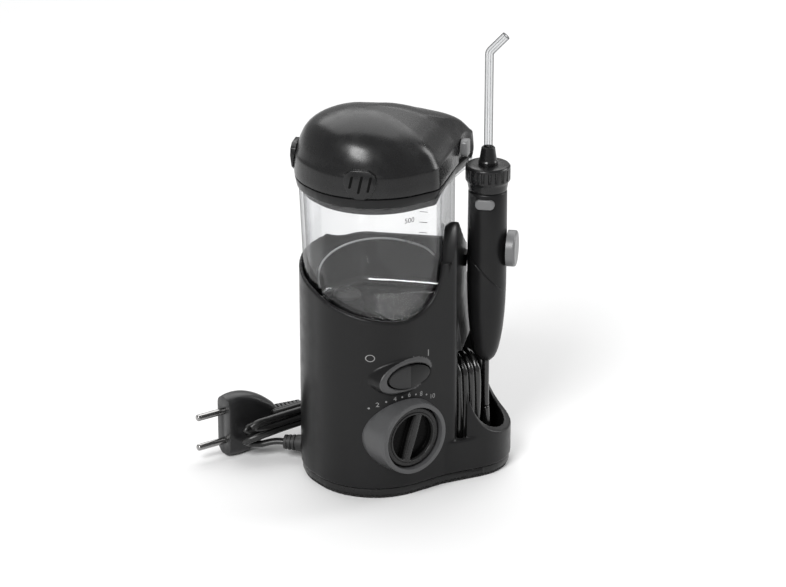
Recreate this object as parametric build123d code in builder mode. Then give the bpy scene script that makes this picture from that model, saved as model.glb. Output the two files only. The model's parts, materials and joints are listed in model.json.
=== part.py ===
from build123d import *
import math
import os

os.makedirs("parts", exist_ok=True)

# ---------------------------------------------------------------- driving sizes (mm)
# Frame: +Z up, control panel faces -Y, the nose of the tank points to +X.
# Origin: on the rest plane, on the axis of the round left end of the base.
X_LEFT, Y_HALF = 41.0, 43.0          # tower half plan
FLANK_F = 70.6 / math.sqrt(2)        # front flank plane: (X-Y)/sqrt2
FLANK_B = 64.0 / math.sqrt(2)        # back flank plane: (X+Y)/sqrt2
LOBE_X, LOBE_Y, LOBE_R = 50.0, -20.0, 28.0   # round lobe that carries the hose well
Z_FOOT, Z_PLATE, Z_SEAM = 2.4, 6.0, 6.3
Z_DECK, DECK_T = 98.0, 4.0
Z_HORN = 160.0
WALL = 2.6
HX, HY = 57.2, -31.6                 # handle axis
H_R = 11.3
D_X, D_Z = -6.0, 39.0                # dial axis
R_X, R_Z = -5.6, 75.3                # rocker centre
MOT_X, MOT_Y, MOT_R = -16.0, 16.0, 14.0
GX, GY = 2.35, 4.41                  # drive gear axis
GEAR_M, GEAR_T, PIN_T = 0.7, 50, 12
CRANK_R = 3.0
PUMP_Z = 61.8
Z_TANK0, Z_TANK1, TANK_T = 99.0, 177.6, 2.2
Z_TRAY, Z_LID = 178.0, 183.4
HINGE_X, HINGE_Z = 63.0, 180.4       # lid hinge, under the nose
HOSE_D = 4.2
CORD_D = 5.2
S = math.sqrt(0.5)
N_OUT = (S, -S, 0)                   # outward normal of the handle channel


def corner(a, b):
    """Crossing of two plan lines, each (nx, ny, c) for nx*x + ny*y = c."""
    d = a[0] * b[1] - a[1] * b[0]
    return ((a[2] * b[1] - a[1] * b[2]) / d, (a[0] * b[2] - a[2] * b[0]) / d)


def tower_points(d, df, db=None):
    """Corners of the tower plan, inset by d, by df on the front flank and db on the back one."""
    db = d if db is None else db
    left, front, back = (-1, 0, X_LEFT - d), (0, -1, Y_HALF - d), (0, 1, Y_HALF - d)
    ff, fb = (S, -S, FLANK_F - df), (S, S, FLANK_B - db)
    return [corner(left, front), corner(front, ff), corner(ff, fb), corner(fb, back), corner(back, left)]


def tower_wire(d, df=None, db=None, nose=20.0, front=5.0, back=14.0):
    df = d if df is None else df
    return FilletPolyline(*tower_points(d, df, db), close=True,
                          radius=[40 - d, max(front - d, 1.0), max(nose - d, 3.0), max(back - d, 3.0), 40 - d])


# lid plan, symmetric about X, with a slightly hollow flank running to the nose
def lid_points(d, k=1.0, cx=0.0):
    pts = [(-43.8 + d, -45 + d), (13.5 - 0.3 * d, -45 + d), (46 - 0.7 * d, -17.8 + 0.6 * d), (73.6 - 1.5 * d, 0),
           (46 - 0.7 * d, 17.8 - 0.6 * d), (13.5 - 0.3 * d, 45 - d), (-43.8 + d, 45 - d)]
    return [((x - cx) * k + cx, y * k) for x, y in pts]


def lid_wire(d, k=1.0, cx=0.0):
    r = [(43.5 - d), 12, 30, 5, 30, 12, (43.5 - d)]
    return FilletPolyline(*lid_points(d, k, cx), close=True, radius=[max(v * k, 1.0) for v in r])


def gear_points(teeth, m, backlash=0.12, clear=0.05, phase=0.0, cx=0.0, cy=0.0):
    """Closed involute outline as a list of points, one tooth centred on the phase angle."""
    rp, ra, rf = m * teeth / 2, m * teeth / 2 + m - clear, m * teeth / 2 - 1.25 * m
    alpha = math.radians(20)
    rb = rp * math.cos(alpha)
    inv = lambda r: math.sqrt(max((r / rb) ** 2 - 1, 0)) - math.atan(math.sqrt(max((r / rb) ** 2 - 1, 0)))
    half = (math.pi * m / 2 - backlash) / (2 * rp)
    pts = []
    for k in range(teeth):
        a0 = phase + 2 * math.pi * k / teeth
        rs = [max(rb, rf) + (ra - max(rb, rf)) * t for t in (0, 0.3, 0.65, 1)]
        right = [(r, -(half + inv(rp) - inv(r))) for r in rs]
        if rf < rb:
            right = [(rf, right[0][1])] + right
        left = [(r, -w) for r, w in reversed(right)]
        for r, w in right + left:
            pts.append((cx + r * math.cos(a0 + w), cy + r * math.sin(a0 + w)))
    return pts


def ramp_points():
    """Side profile of the ramp and lobe: distance out from the flank plane against height."""
    return [(0.0, 108.0), (0.9, 96.0), (2.6, 82.0), (4.8, 64.0), (8.0, 47.0), (12.5, 36.0), (18.0, 29.5), (25.0, 25.5), (34.0, 23.5)]


flank_foot = ((27.6 + HX) / 2, (-43 + HY) / 2)
# plane across the flank: local x = outward normal, local y = up; its normal runs along the flank
FLANK_CROSS = Plane(origin=(27.6, -43, 0), x_dir=(S, -S, 0), z_dir=(-S, -S, 0))
# plane in the flank itself: local x = along the flank towards the nose, local y = up, normal outward
FLANK_FACE = Plane(origin=(27.6, -43, 0), x_dir=(S, S, 0), z_dir=(S, -S, 0))
PANEL = Plane(origin=(0, -Y_HALF, 0), x_dir=(1, 0, 0), z_dir=(0, -1, 0))   # local x = X, local y = Z
TOW = Plane(origin=(0, 0, 0), x_dir=(1, 0, 0), z_dir=(0, -1, 0))

# tangent from (20,-43) to the lobe circle, to fill the small hollow beside it
tx, ty = 20.0, -43.0
dd = math.hypot(LOBE_X - tx, LOBE_Y - ty)
base_a = math.atan2(LOBE_Y - ty, LOBE_X - tx)
off_a = math.asin((LOBE_R) / dd)
tl = math.sqrt(dd * dd - LOBE_R * LOBE_R)
T_PT = (tx + tl * math.cos(base_a - off_a), ty + tl * math.sin(base_a - off_a))

WELL_FLOOR, WELL_TOP = 9.0, 81.0
bosses = [(-31.8, -17.9), (-10.1, 36.0), (36.3, 18.8), (18.5, -36.9)]
posts = [(-20.0, -9.0), (-9.5, 32.0), (-29.5, 10.0)]

# ---------------------------------------------------------------- base housing
with BuildPart() as base_housing:
    # tower, and the lobe with its ramp
    with BuildSketch(Plane.XY.offset(Z_SEAM)):
        with BuildLine():
            tower_wire(0)
        make_face()
    extrude(amount=Z_HORN - Z_SEAM)
    with BuildSketch(Plane.XY.offset(Z_SEAM)):
        with BuildLine():
            Polyline((tx, ty), T_PT, (LOBE_X, LOBE_Y), (tx, LOBE_Y), close=True)
        make_face()
    extrude(amount=26.0 - Z_SEAM)
    with BuildPart(mode=Mode.PRIVATE) as ramp:
        with BuildSketch(FLANK_CROSS):
            with BuildLine():
                Spline(*ramp_points())
                Polyline((34.0, 23.5), (60.0, 23.5), (60.0, 0.0), (-30.0, 0.0), (-30.0, 108.0), (0.0, 108.0))
            make_face()
        extrude(amount=70, both=True)
        with BuildSketch(Plane.XY.offset(Z_SEAM)):
            with Locations((LOBE_X, LOBE_Y)):
                Circle(LOBE_R)
        extrude(amount=110, mode=Mode.INTERSECT)
    add(ramp.part)
    # sloping mouth of the tank seat: low at the front, rising to the horn at the front right corner
    with BuildSketch(PANEL.offset(60)):
        with BuildLine():
            Polyline((-90, 90), (-30, 90), (-12, 90))
            Spline((-12, 90), (-2, 91.2), (7, 95.5), (14, 104.0), (18, 116.0), (21, 129.0), (25.5, 143.5), tangents=[(1, 0), (1, 1.6)])
            Polyline((25.5, 143.5), (31.5, 160), (31.5, 220), (-90, 220), (-90, 90))
        make_face()
    extrude(amount=200, dir=(0, 0.9578, 0.2873), mode=Mode.SUBTRACT)
    # the horn falls away along the flank, down to the back rim
    with BuildSketch(FLANK_FACE.offset(40)):
        with BuildLine():
            Spline((3, 161), (9, 157), (16, 151), (24, 144.5), (32, 138.5), (40, 133.5), (50, 131), tangents=[(1, -0.35), (1, 0)])
            Polyline((50, 131), (140, 131), (140, 200), (3, 200), (3, 161))
        make_face()
    extrude(amount=-200, mode=Mode.SUBTRACT)
    # tank seat, with the same flare as the tank
    with BuildSketch(Plane.XY.offset(Z_DECK)):
        with BuildLine():
            tower_wire(3.2, 8.2, 3.2, nose=9, front=9)
        make_face()
    with BuildSketch(Plane.XY.offset(Z_DECK + 64)):
        with BuildLine():
            tower_wire(0.6, 8.0, 3.0, nose=9, front=9)
        make_face()
    loft(mode=Mode.SUBTRACT)
    # lower chamber for motor and pump, open at the bottom
    with BuildSketch(Plane.XY.offset(Z_SEAM)):
        with BuildLine():
            tower_wire(WALL)
        make_face()
    extrude(amount=Z_DECK - DECK_T - Z_SEAM, mode=Mode.SUBTRACT)
    with BuildSketch(Plane.XY.offset(Z_SEAM)):
        with Locations((LOBE_X, LOBE_Y)):
            Circle(LOBE_R - WALL)
        with BuildLine():
            Polyline((tx + 2, ty + WALL), (T_PT[0] - 0.5, T_PT[1] + WALL), (LOBE_X, LOBE_Y), (tx + 2, LOBE_Y), close=True)
        make_face()
    extrude(amount=0.9, mode=Mode.SUBTRACT)
    # walls of the hose well
    with BuildSketch(Plane.XY.offset(Z_SEAM + 0.9)):
        with BuildLine():
            FilletPolyline((27, -42.5), (62, -42.5), (62, -1), (27, -1), close=True, radius=[1, 12, 12, 5])
        make_face()
        with Locations((LOBE_X, LOBE_Y)):
            Circle(24.5, mode=Mode.ADD)
        with BuildLine():
            tower_wire(0.5)
        make_face(mode=Mode.INTERSECT)
    extrude(amount=WELL_TOP + 3 - Z_SEAM - 0.9)
    with BuildSketch(Plane.XY.offset(WELL_FLOOR)):
        with BuildLine():
            FilletPolyline((29, -43.6), (56, -43.6), (56, -3), (29, -3), close=True, radius=[9, 9, 10, 4])
        make_face()
        with Locations((LOBE_X, LOBE_Y)):
            Circle(23.6)
    extrude(amount=WELL_TOP - WELL_FLOOR, mode=Mode.SUBTRACT)
    # screw bosses and bracket posts
    with BuildSketch(Plane.XY.offset(Z_SEAM)):
        with Locations(*bosses):
            Circle(4.0)
    extrude(amount=24)
    with BuildSketch(Plane.XY.offset(Z_SEAM)):
        with Locations(*bosses):
            Circle(1.3)
    extrude(amount=18, mode=Mode.SUBTRACT)
    with BuildSketch(Plane.XY.offset(53.5)):
        with Locations(*posts):
            Circle(2.8)
    extrude(amount=Z_DECK - DECK_T - 53.5 + 0.5)
    with BuildSketch(Plane.XY.offset(53.5)):
        with Locations(*posts):
            Circle(1.25)
    extrude(amount=8, mode=Mode.SUBTRACT)
    # outlet through the deck for the tank valve
    with Locations((-2, 24, Z_DECK)):
        Hole(9.0, depth=DECK_T + 1)
    # oval collar of the switch, standing proud of the curved wall, and its openings
    with BuildPart(mode=Mode.PRIVATE) as collar:
        with BuildSketch(PANEL.offset(0.9)):
            with Locations((-8.2, 75.8)):
                Ellipse(17.6, 9.4, rotation=6)
        extrude(amount=-16, taper=-9)
        with BuildSketch(Plane.XY.offset(40)):
            with BuildLine():
                tower_wire(1.0)
            make_face()
        extrude(amount=80, mode=Mode.SUBTRACT)
    add(collar.part)
    with BuildSketch(PANEL.offset(3)):
        with Locations((R_X, R_Z)):
            Ellipse(14.9, 7.2)
    extrude(amount=-14, mode=Mode.SUBTRACT)
    with Locations(Plane(origin=(R_X, -40.6, R_Z))):
        Cylinder(1.05, 21, mode=Mode.SUBTRACT)
    # dial shaft hole, cord hole, hose outlet hole
    with Locations(Plane(origin=(D_X, -40, D_Z), z_dir=(0, -1, 0))):
        Cylinder(3.06, 12, mode=Mode.SUBTRACT)
    with Locations(Plane(origin=(-27.2, 31.8, 10.6), z_dir=(-0.67, 0.742, 0))):
        Cylinder(4.0, 14, mode=Mode.SUBTRACT)
    with Locations(Plane(origin=(28, -12, 20), z_dir=(1, 0, 0))):
        Cylinder(2.6, 6, mode=Mode.SUBTRACT)
base_housing.part.label = "base_housing"
export_step(base_housing.part, "parts/base_housing.step")
print("base_housing", [(round(q.volume, 1), q.bounding_box()) for q in base_housing.part.solids()])


def low_plan(d):
    """Plan of the whole foot, inset by d: tower, lobe and the fill between them."""
    with BuildSketch() as plan:
        with BuildLine():
            tower_wire(d)
        make_face()
        with Locations((LOBE_X, LOBE_Y)):
            Circle(LOBE_R - d)
        with BuildLine():
            Polyline((tx, ty + d), (T_PT[0] - d * 0.3, T_PT[1] + d), (LOBE_X, LOBE_Y), (tx, LOBE_Y), close=True)
        make_face()
    return plan.sketch


with BuildPart() as base_plate:
    with BuildSketch(Plane.XY.offset(Z_FOOT)):
        add(low_plan(0.9))
    extrude(amount=Z_PLATE - Z_FOOT)
    with BuildSketch(Plane.XY.offset(Z_FOOT)):
        with Locations(*bosses):
            Circle(3.1)
    extrude(amount=1.8, mode=Mode.SUBTRACT)
    with BuildSketch(Plane.XY.offset(Z_FOOT)):
        with Locations(*bosses):
            Circle(1.35)
    extrude(amount=5, mode=Mode.SUBTRACT)
base_plate.part.label = "base_plate"
export_step(base_plate.part, "parts/base_plate.step")

with BuildPart() as foot_pad:
    with BuildSketch(Plane.XY):
        add(low_plan(2.0))
    extrude(amount=Z_FOOT)
    with BuildSketch(Plane.XY):
        with Locations(*bosses):
            Circle(3.0)
    extrude(amount=5, mode=Mode.SUBTRACT)
foot_pad.part.label = "foot_pad"
export_step(foot_pad.part, "parts/foot_pad.step")

with BuildPart() as base_screws:
    with BuildSketch(Plane.XY.offset(1.2)):
        with Locations(*bosses):
            Circle(2.8)
    extrude(amount=3.0)
    with BuildSketch(Plane.XY.offset(4.2)):
        with Locations(*bosses):
            Circle(1.25)
    extrude(amount=12)
    with BuildSketch(Plane.XY.offset(1.2)):
        with Locations(*bosses):
            Rectangle(3.4, 0.9)
            Rectangle(0.9, 3.4)
    extrude(amount=1.4, mode=Mode.SUBTRACT)
base_screws.part.label = "base_screws"
export_step(base_screws.part, "parts/base_screws.step")

# ---------------------------------------------------------------- dial
with BuildPart() as dial_bezel:
    with BuildSketch(PANEL.offset(7.2)):
        with Locations((D_X, D_Z)):
            Circle(21.2)
    extrude(amount=-21, taper=-7)
    with BuildSketch(Plane.XY.offset(5)):
        with BuildLine():
            tower_wire(-0.02)
        make_face()
    extrude(amount=90, mode=Mode.SUBTRACT)
    with BuildSketch(PANEL.offset(10)):
        with Locations((D_X, D_Z)):
            Circle(18.8)
    extrude(amount=-30, mode=Mode.SUBTRACT)
dial_bezel.part.label = "dial_bezel"
export_step(dial_bezel.part, "parts/dial_bezel.step")

with BuildPart() as pressure_dial:
    with BuildSketch(PANEL.offset(0.5)):
        with Locations((D_X, D_Z)):
            Circle(18.0)
            Circle(3.0, mode=Mode.SUBTRACT)
    extrude(amount=5.3)
    bar_a = 90 - 18
    with BuildSketch(PANEL.offset(7)):
        with Locations((D_X, D_Z)):
            Circle(13.6)
            Rectangle(40, 5.0, rotation=bar_a, mode=Mode.SUBTRACT)
    extrude(amount=-4.4, mode=Mode.SUBTRACT)
pressure_dial.part.label = "pressure_dial"
export_step(pressure_dial.part, "parts/pressure_dial.step")

with BuildPart() as dial_shaft:
    with BuildSketch(PANEL.offset(2.3)):
        with Locations((D_X, D_Z)):
            Circle(3.0)
    extrude(amount=-13.9)
dial_shaft.part.label = "dial_shaft"
export_step(dial_shaft.part, "parts/dial_shaft.step")

with BuildPart() as regulator_body:
    with BuildSketch(PANEL.offset(-7.0)):
        with Locations((D_X, D_Z)):
            RectangleRounded(22, 22, 3)
    extrude(amount=-10)
    with BuildSketch(PANEL.offset(-6)):
        with Locations((D_X, D_Z)):
            Circle(3.06)
    extrude(amount=-6, mode=Mode.SUBTRACT)
    with Locations(Plane(origin=(5.5, -31, 35), z_dir=(1, 0, 0))):
        Cylinder(2.0, 7)
    with Locations(Plane(origin=(5.5, -31, 44), z_dir=(1, 0, 0))):
        Cylinder(2.0, 7)
regulator_body.part.label = "regulator_body"
export_step(regulator_body.part, "parts/regulator_body.step")

# ---------------------------------------------------------------- rocker switch
with BuildPart() as power_rocker:
    with BuildSketch(PANEL.offset(2.2)):
        with Locations((R_X, R_Z)):
            Ellipse(14.0, 6.5)
    extrude(amount=-5.0)
    # two faces meeting in a low ridge
    with BuildSketch(Plane.XY.offset(R_Z)):
        with BuildLine():
            Polyline((R_X, -45.2), (R_X + 16, -44.0), (R_X + 16, -47), (R_X - 16, -47), (R_X - 16, -44.0), (R_X, -45.2))
        make_face()
    extrude(amount=10, both=True, mode=Mode.SUBTRACT)
    with Locations(Plane(origin=(R_X, -40.6, R_Z))):
        Cylinder(1.05, 20, mode=Mode.SUBTRACT)
power_rocker.part.label = "power_rocker"
export_step(power_rocker.part, "parts/power_rocker.step")

with BuildPart() as rocker_pin:
    with Locations((R_X, -40.6, R_Z)):
        Cylinder(1.0, 18.6)
rocker_pin.part.label = "rocker_pin"
export_step(rocker_pin.part, "parts/rocker_pin.step")

with BuildPart() as switch_body:
    with BuildSketch(PANEL.offset(-9.2)):
        with Locations((R_X, R_Z)):
            RectangleRounded(19, 13, 1.5)
    extrude(amount=-10)
    with Locations((R_X - 5, -23.5, R_Z), (R_X, -23.5, R_Z), (R_X + 5, -23.5, R_Z)):
        Box(0.8, 3.4, 4.0)
switch_body.part.label = "switch_body"
export_step(switch_body.part, "parts/switch_body.step")

# ---------------------------------------------------------------- motor, gears, pump
with BuildPart() as motor_body:
    with Locations((MOT_X, MOT_Y, 11.0)):
        Cylinder(MOT_R, 38.0, align=(Align.CENTER, Align.CENTER, Align.MIN))
        Cylinder(5.0, 40.2, align=(Align.CENTER, Align.CENTER, Align.MIN))
    fillet(motor_body.edges().filter_by(GeomType.CIRCLE).group_by(SortBy.RADIUS)[-1], 1.2)
    with Locations((MOT_X, MOT_Y, 51.2)):
        Hole(1.56, depth=9)
motor_body.part.label = "motor_body"
export_step(motor_body.part, "parts/motor_body.step")

with BuildPart() as motor_bracket:
    with BuildSketch(Plane.XY.offset(51.4)):
        with Locations((-1, 3)):
            Circle(36.2)
        with Locations((-3.5, 12.5)):
            Rectangle(54, 53, mode=Mode.INTERSECT)
        with Locations((MOT_X, MOT_Y)):
            Circle(5.1, mode=Mode.SUBTRACT)
        with Locations(*posts):
            Circle(1.3, mode=Mode.SUBTRACT)
        with Locations((GX, GY)):
            Circle(1.5, mode=Mode.SUBTRACT)
    extrude(amount=2.1)
motor_bracket.part.label = "motor_bracket"
export_step(motor_bracket.part, "parts/motor_bracket.step")

with BuildPart() as bracket_screws:
    with BuildSketch(Plane.XY.offset(49.7)):
        with Locations(*posts):
            Circle(2.3)
    extrude(amount=1.7)
    with BuildSketch(Plane.XY.offset(51.4)):
        with Locations(*posts):
            Circle(1.2)
    extrude(amount=9)
bracket_screws.part.label = "bracket_screws"
export_step(bracket_screws.part, "parts/bracket_screws.step")

mesh_a = math.atan2(GY - MOT_Y, GX - MOT_X)      # from the motor towards the gear
with BuildPart() as motor_pinion:
    with BuildSketch(Plane.XY.offset(54.3)):
        with BuildLine():
            Polyline(*gear_points(PIN_T, GEAR_M, phase=mesh_a, cx=MOT_X, cy=MOT_Y), close=True)
        make_face()
    extrude(amount=4.8)
    with BuildSketch(Plane.XY.offset(43.5)):
        with Locations((MOT_X, MOT_Y)):
            Circle(1.5)
    extrude(amount=16.5)
motor_pinion.part.label = "motor_pinion"
export_step(motor_pinion.part, "parts/motor_pinion.step")

gap = mesh_a + math.pi + math.pi / GEAR_T
with BuildPart() as drive_gear:
    with BuildSketch(Plane.XY.offset(54.6)):
        with BuildLine():
            Polyline(*gear_points(GEAR_T, GEAR_M, phase=gap, cx=GX, cy=GY), close=True)
        make_face()
        with Locations((GX, GY)):
            Circle(1.56, mode=Mode.SUBTRACT)
        with Locations((GX + CRANK_R, GY)):
            Circle(1.1, mode=Mode.SUBTRACT)
    extrude(amount=3.9)
    with BuildSketch(Plane.XY.offset(58.5)):
        with Locations((GX, GY)):
            Circle(14.5)
            Circle(6.5, mode=Mode.SUBTRACT)
    extrude(amount=-1.2, mode=Mode.SUBTRACT)
drive_gear.part.label = "drive_gear"
export_step(drive_gear.part, "parts/drive_gear.step")

with BuildPart() as gear_axle:
    with Locations((GX, GY, 51.4)):
        Cylinder(1.5, 7.6, align=(Align.CENTER, Align.CENTER, Align.MIN))
gear_axle.part.label = "gear_axle"
export_step(gear_axle.part, "parts/gear_axle.step")

with BuildPart() as crank_pin:
    with Locations((GX + CRANK_R, GY, 55.2)):
        Cylinder(1.1, 8.6, align=(Align.CENTER, Align.CENTER, Align.MIN))
crank_pin.part.label = "crank_pin"
export_step(crank_pin.part, "parts/crank_pin.step")

with BuildPart() as piston_yoke:
    with BuildSketch(Plane.XY.offset(60.0)):
        with Locations((GX, GY)):
            RectangleRounded(16, 23, 2)
            RectangleRounded(10.6, 17.4, 1, mode=Mode.SUBTRACT)
    extrude(amount=3.6)
    with Locations(Plane(origin=(GX, GY + 11.0, PUMP_Z), z_dir=(0, 1, 0))):
        Cylinder(2.2, 12.0, align=(Align.CENTER, Align.CENTER, Align.MIN))
    with Locations(Plane(origin=(GX, GY + 23.0, PUMP_Z), z_dir=(0, 1, 0))):
        Cylinder(3.92, 5.0, align=(Align.CENTER, Align.CENTER, Align.MIN))
    with Locations(Plane(origin=(GX, GY + 25.0, PUMP_Z), z_dir=(0, 1, 0))):
        with BuildSketch(Plane(origin=(GX, GY + 24.8, PUMP_Z), z_dir=(0, 1, 0))):
            Circle(5.0)
            Circle(3.2, mode=Mode.SUBTRACT)
    extrude(amount=1.4, mode=Mode.SUBTRACT)
piston_yoke.part.label = "piston_yoke"
export_step(piston_yoke.part, "parts/piston_yoke.step")

with BuildPart() as piston_seal:
    with BuildSketch(Plane(origin=(GX, GY + 24.8, PUMP_Z), z_dir=(0, 1, 0))):
        Circle(3.93)
        Circle(3.2, mode=Mode.SUBTRACT)
    extrude(amount=1.4)
piston_seal.part.label = "piston_seal"
export_step(piston_seal.part, "parts/piston_seal.step")

with BuildPart() as pump_cylinder:
    with BuildSketch(Plane(origin=(GX, 24.6, PUMP_Z), z_dir=(0, 1, 0))):
        Circle(6.5)
    extrude(amount=14.6)
    with Locations((GX, 32.0, 53.5)):
        Box(10, 12, 4.5, align=(Align.CENTER, Align.CENTER, Align.MIN))
    with BuildSketch(Plane(origin=(GX, 24.6, PUMP_Z), z_dir=(0, 1, 0))):
        Circle(4.0)
    extrude(amount=12.0, mode=Mode.SUBTRACT)
    with Locations((GX, 34.5, 68.0)):
        Cylinder(2.4, 5.0, align=(Align.CENTER, Align.CENTER, Align.MIN))
    with Locations((GX, 34.5, 73.0)):
        Hole(1.2, depth=8)
    with Locations(Plane(origin=(GX + 6.0, 34.5, PUMP_Z), z_dir=(1, 0, 0))):
        Cylinder(2.4, 5.0, align=(Align.CENTER, Align.CENTER, Align.MIN))
pump_cylinder.part.label = "pump_cylinder"
export_step(pump_cylinder.part, "parts/pump_cylinder.step")

with BuildPart() as tank_grommet:
    with BuildSketch(Plane.XY.offset(92.0)):
        with Locations((-2, 24)):
            Circle(8.95)
            Circle(5.0, mode=Mode.SUBTRACT)
    extrude(amount=6.6)
    with BuildSketch(Plane.XY.offset(88.0)):
        with Locations((-2, 24)):
            Circle(8.95)
            Circle(1.6, mode=Mode.SUBTRACT)
    extrude(amount=4.0)
    with BuildSketch(Plane.XY.offset(84.0)):
        with Locations((-2, 24)):
            Circle(3.2)
            Circle(1.6, mode=Mode.SUBTRACT)
    extrude(amount=4.0)
tank_grommet.part.label = "tank_grommet"
export_step(tank_grommet.part, "parts/tank_grommet.step")

inlet_route = [(-2, 24, 84), (-2, 24.4, 80.5), (GX, 33.8, 77), (GX, 34.5, 73.0)]
with BuildPart() as inlet_tube:
    with BuildLine() as inlet_line:
        FilletPolyline(*inlet_route, radius=1.6)
    with BuildSketch(Plane(origin=inlet_line.line @ 0, z_dir=inlet_line.line % 0)):
        Circle(2.4)
        Circle(1.3, mode=Mode.SUBTRACT)
    sweep(path=inlet_line.line)
inlet_tube.part.label = "inlet_tube"
export_step(inlet_tube.part, "parts/inlet_tube.step")

outlet_route = [(GX + 11.0, 34.5, PUMP_Z), (20.5, 34.0, PUMP_Z - 1), (24.0, 24.0, 46.0), (22.8, -2.0, 30.0), (22.6, -11.0, 21.0), (24.6, -12, 20)]
with BuildPart() as outlet_tube:
    with BuildLine() as outlet_line:
        FilletPolyline(*outlet_route, radius=[3.5, 6, 5, 1.0])
    with BuildSketch(Plane(origin=outlet_line.line @ 0, z_dir=outlet_line.line % 0)):
        Circle(2.2)
        Circle(1.2, mode=Mode.SUBTRACT)
    sweep(path=outlet_line.line)
outlet_tube.part.label = "outlet_tube"
export_step(outlet_tube.part, "parts/outlet_tube.step")

with BuildPart() as hose_connector:
    with BuildSketch(Plane(origin=(25.0, -12, 20), z_dir=(1, 0, 0))):
        Circle(2.5)
    extrude(amount=5.4)
    with BuildSketch(Plane(origin=(29.05, -12, 20), z_dir=(1, 0, 0))):
        Circle(2.5)
    extrude(amount=1.1)
hose_connector.part.label = "hose_connector"
export_step(hose_connector.part, "parts/hose_connector.step")

# ---------------------------------------------------------------- handle cradle on the horn
CR_Z0, CR_Z1 = 124.5, 131.5
with BuildPart() as handle_cradle:
    with BuildSketch(Plane.XY.offset(CR_Z0)):
        with Locations((HX, HY)):
            Circle(13.9)
        with BuildLine():
            Polyline((HX, HY), (HX - 40 * math.cos(math.radians(-45 + 78)), HY + 40 * math.cos(math.radians(-45 + 78)) * 0 - 40 * math.sin(math.radians(-45 + 78))),
                     (HX - 50, HY + 50), (HX + 40 * math.sin(math.radians(-45 + 78)), HY + 40 * math.cos(math.radians(-45 + 78))), close=True)
        make_face(mode=Mode.INTERSECT)
        # bridge to the flank wall
        with Locations((HX - 13.7 * S, HY + 13.7 * S)):
            Rectangle(4.2, 11, rotation=-45)
        with Locations((HX, HY)):
            Circle(H_R + 0.35, mode=Mode.SUBTRACT)
    extrude(amount=CR_Z1 - CR_Z0)
    with BuildSketch(Plane.XY.offset(CR_Z0 - 1)):
        with BuildLine():
            tower_wire(-0.02)
        make_face()
    extrude(amount=CR_Z1 - CR_Z0 + 2, mode=Mode.SUBTRACT)
handle_cradle.part.label = "handle_cradle"
export_step(handle_cradle.part, "parts/handle_cradle.step")

# ---------------------------------------------------------------- tank
with BuildPart() as reservoir:
    with BuildSketch(Plane.XY.offset(Z_TANK0)):
        with BuildLine():
            tower_wire(3.65, 8.65, 3.65, nose=9, front=9)
        make_face()
    with BuildSketch(Plane.XY.offset(Z_TANK1)):
        with BuildLine():
            tower_wire(0.4, 8.4, 3.2, nose=9, front=9)
        make_face()
    loft()
    with BuildSketch(Plane.XY.offset(Z_TANK0 + TANK_T)):
        with BuildLine():
            tower_wire(3.65 + TANK_T, 8.65 + TANK_T, 3.65 + TANK_T, nose=9, front=9)
        make_face()
    with BuildSketch(Plane.XY.offset(Z_TANK1)):
        with BuildLine():
            tower_wire(0.4 + TANK_T, 8.4 + TANK_T, 3.2 + TANK_T, nose=9, front=9)
        make_face()
    loft(mode=Mode.SUBTRACT)
    with Locations((-2, 24, Z_TANK0 + TANK_T)):
        Hole(6.0, depth=TANK_T + 1)
    # clear shelf under the nose of the lid, and the two hinge lugs on it
    with BuildSketch(Plane.XY.offset(Z_TANK1 - 2.4)):
        with BuildLine():
            lid_wire(2.6)
        make_face()
        with Locations((37.5, 0)):
            Rectangle(45, 90, mode=Mode.INTERSECT)
        with BuildLine():
            tower_wire(0.4 + TANK_T + 0.3, 8.4 + TANK_T + 0.3, 3.2 + TANK_T + 0.3, nose=9, front=9)
        make_face(mode=Mode.SUBTRACT)
    extrude(amount=2.4)
    with BuildSketch(Plane.XZ):
        with BuildLine():
            Polyline((56.0, Z_TANK1 - 2.4), (60.0, Z_TANK1 - 2.4), (HINGE_X + 2.2, HINGE_Z - 1.4), (HINGE_X + 1.6, HINGE_Z + 1.8), (HINGE_X - 1.2, HINGE_Z + 2.2), (HINGE_X - 2.6, HINGE_Z + 0.2), (58.4, Z_TANK1), (56.0, Z_TANK1), close=True)
        make_face()
    extrude(amount=7.0, both=True)
    with Locations((HINGE_X, 0, HINGE_Z)):
        Box(12, 7.6, 9, mode=Mode.SUBTRACT)
    with Locations(Plane(origin=(HINGE_X, 0, HINGE_Z), z_dir=(0, 1, 0))):
        Cylinder(1.05, 16, mode=Mode.SUBTRACT)
reservoir.part.label = "reservoir"
export_step(reservoir.part, "parts/reservoir.step")

with BuildPart() as reservoir_valve:
    with BuildSketch(Plane.XZ):
        with BuildLine():
            Polyline((1.5, 94.2), (4.6, 94.2), (4.6, 98.9), (5.95, 98.9), (5.95, Z_TANK0 + TANK_T), (8.0, Z_TANK0 + TANK_T),
                     (8.0, Z_TANK0 + TANK_T + 1.6), (5.5, Z_TANK0 + TANK_T + 4.0), (1.5, Z_TANK0 + TANK_T + 4.0), close=True)
        make_face()
    revolve(axis=Axis.Z)
with BuildPart() as reservoir_valve_placed:
    add(reservoir_valve.part.moved(Location((-2, 24, 0))))
reservoir_valve_placed.part.label = "reservoir_valve"
export_step(reservoir_valve_placed.part, "parts/reservoir_valve.step")

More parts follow.
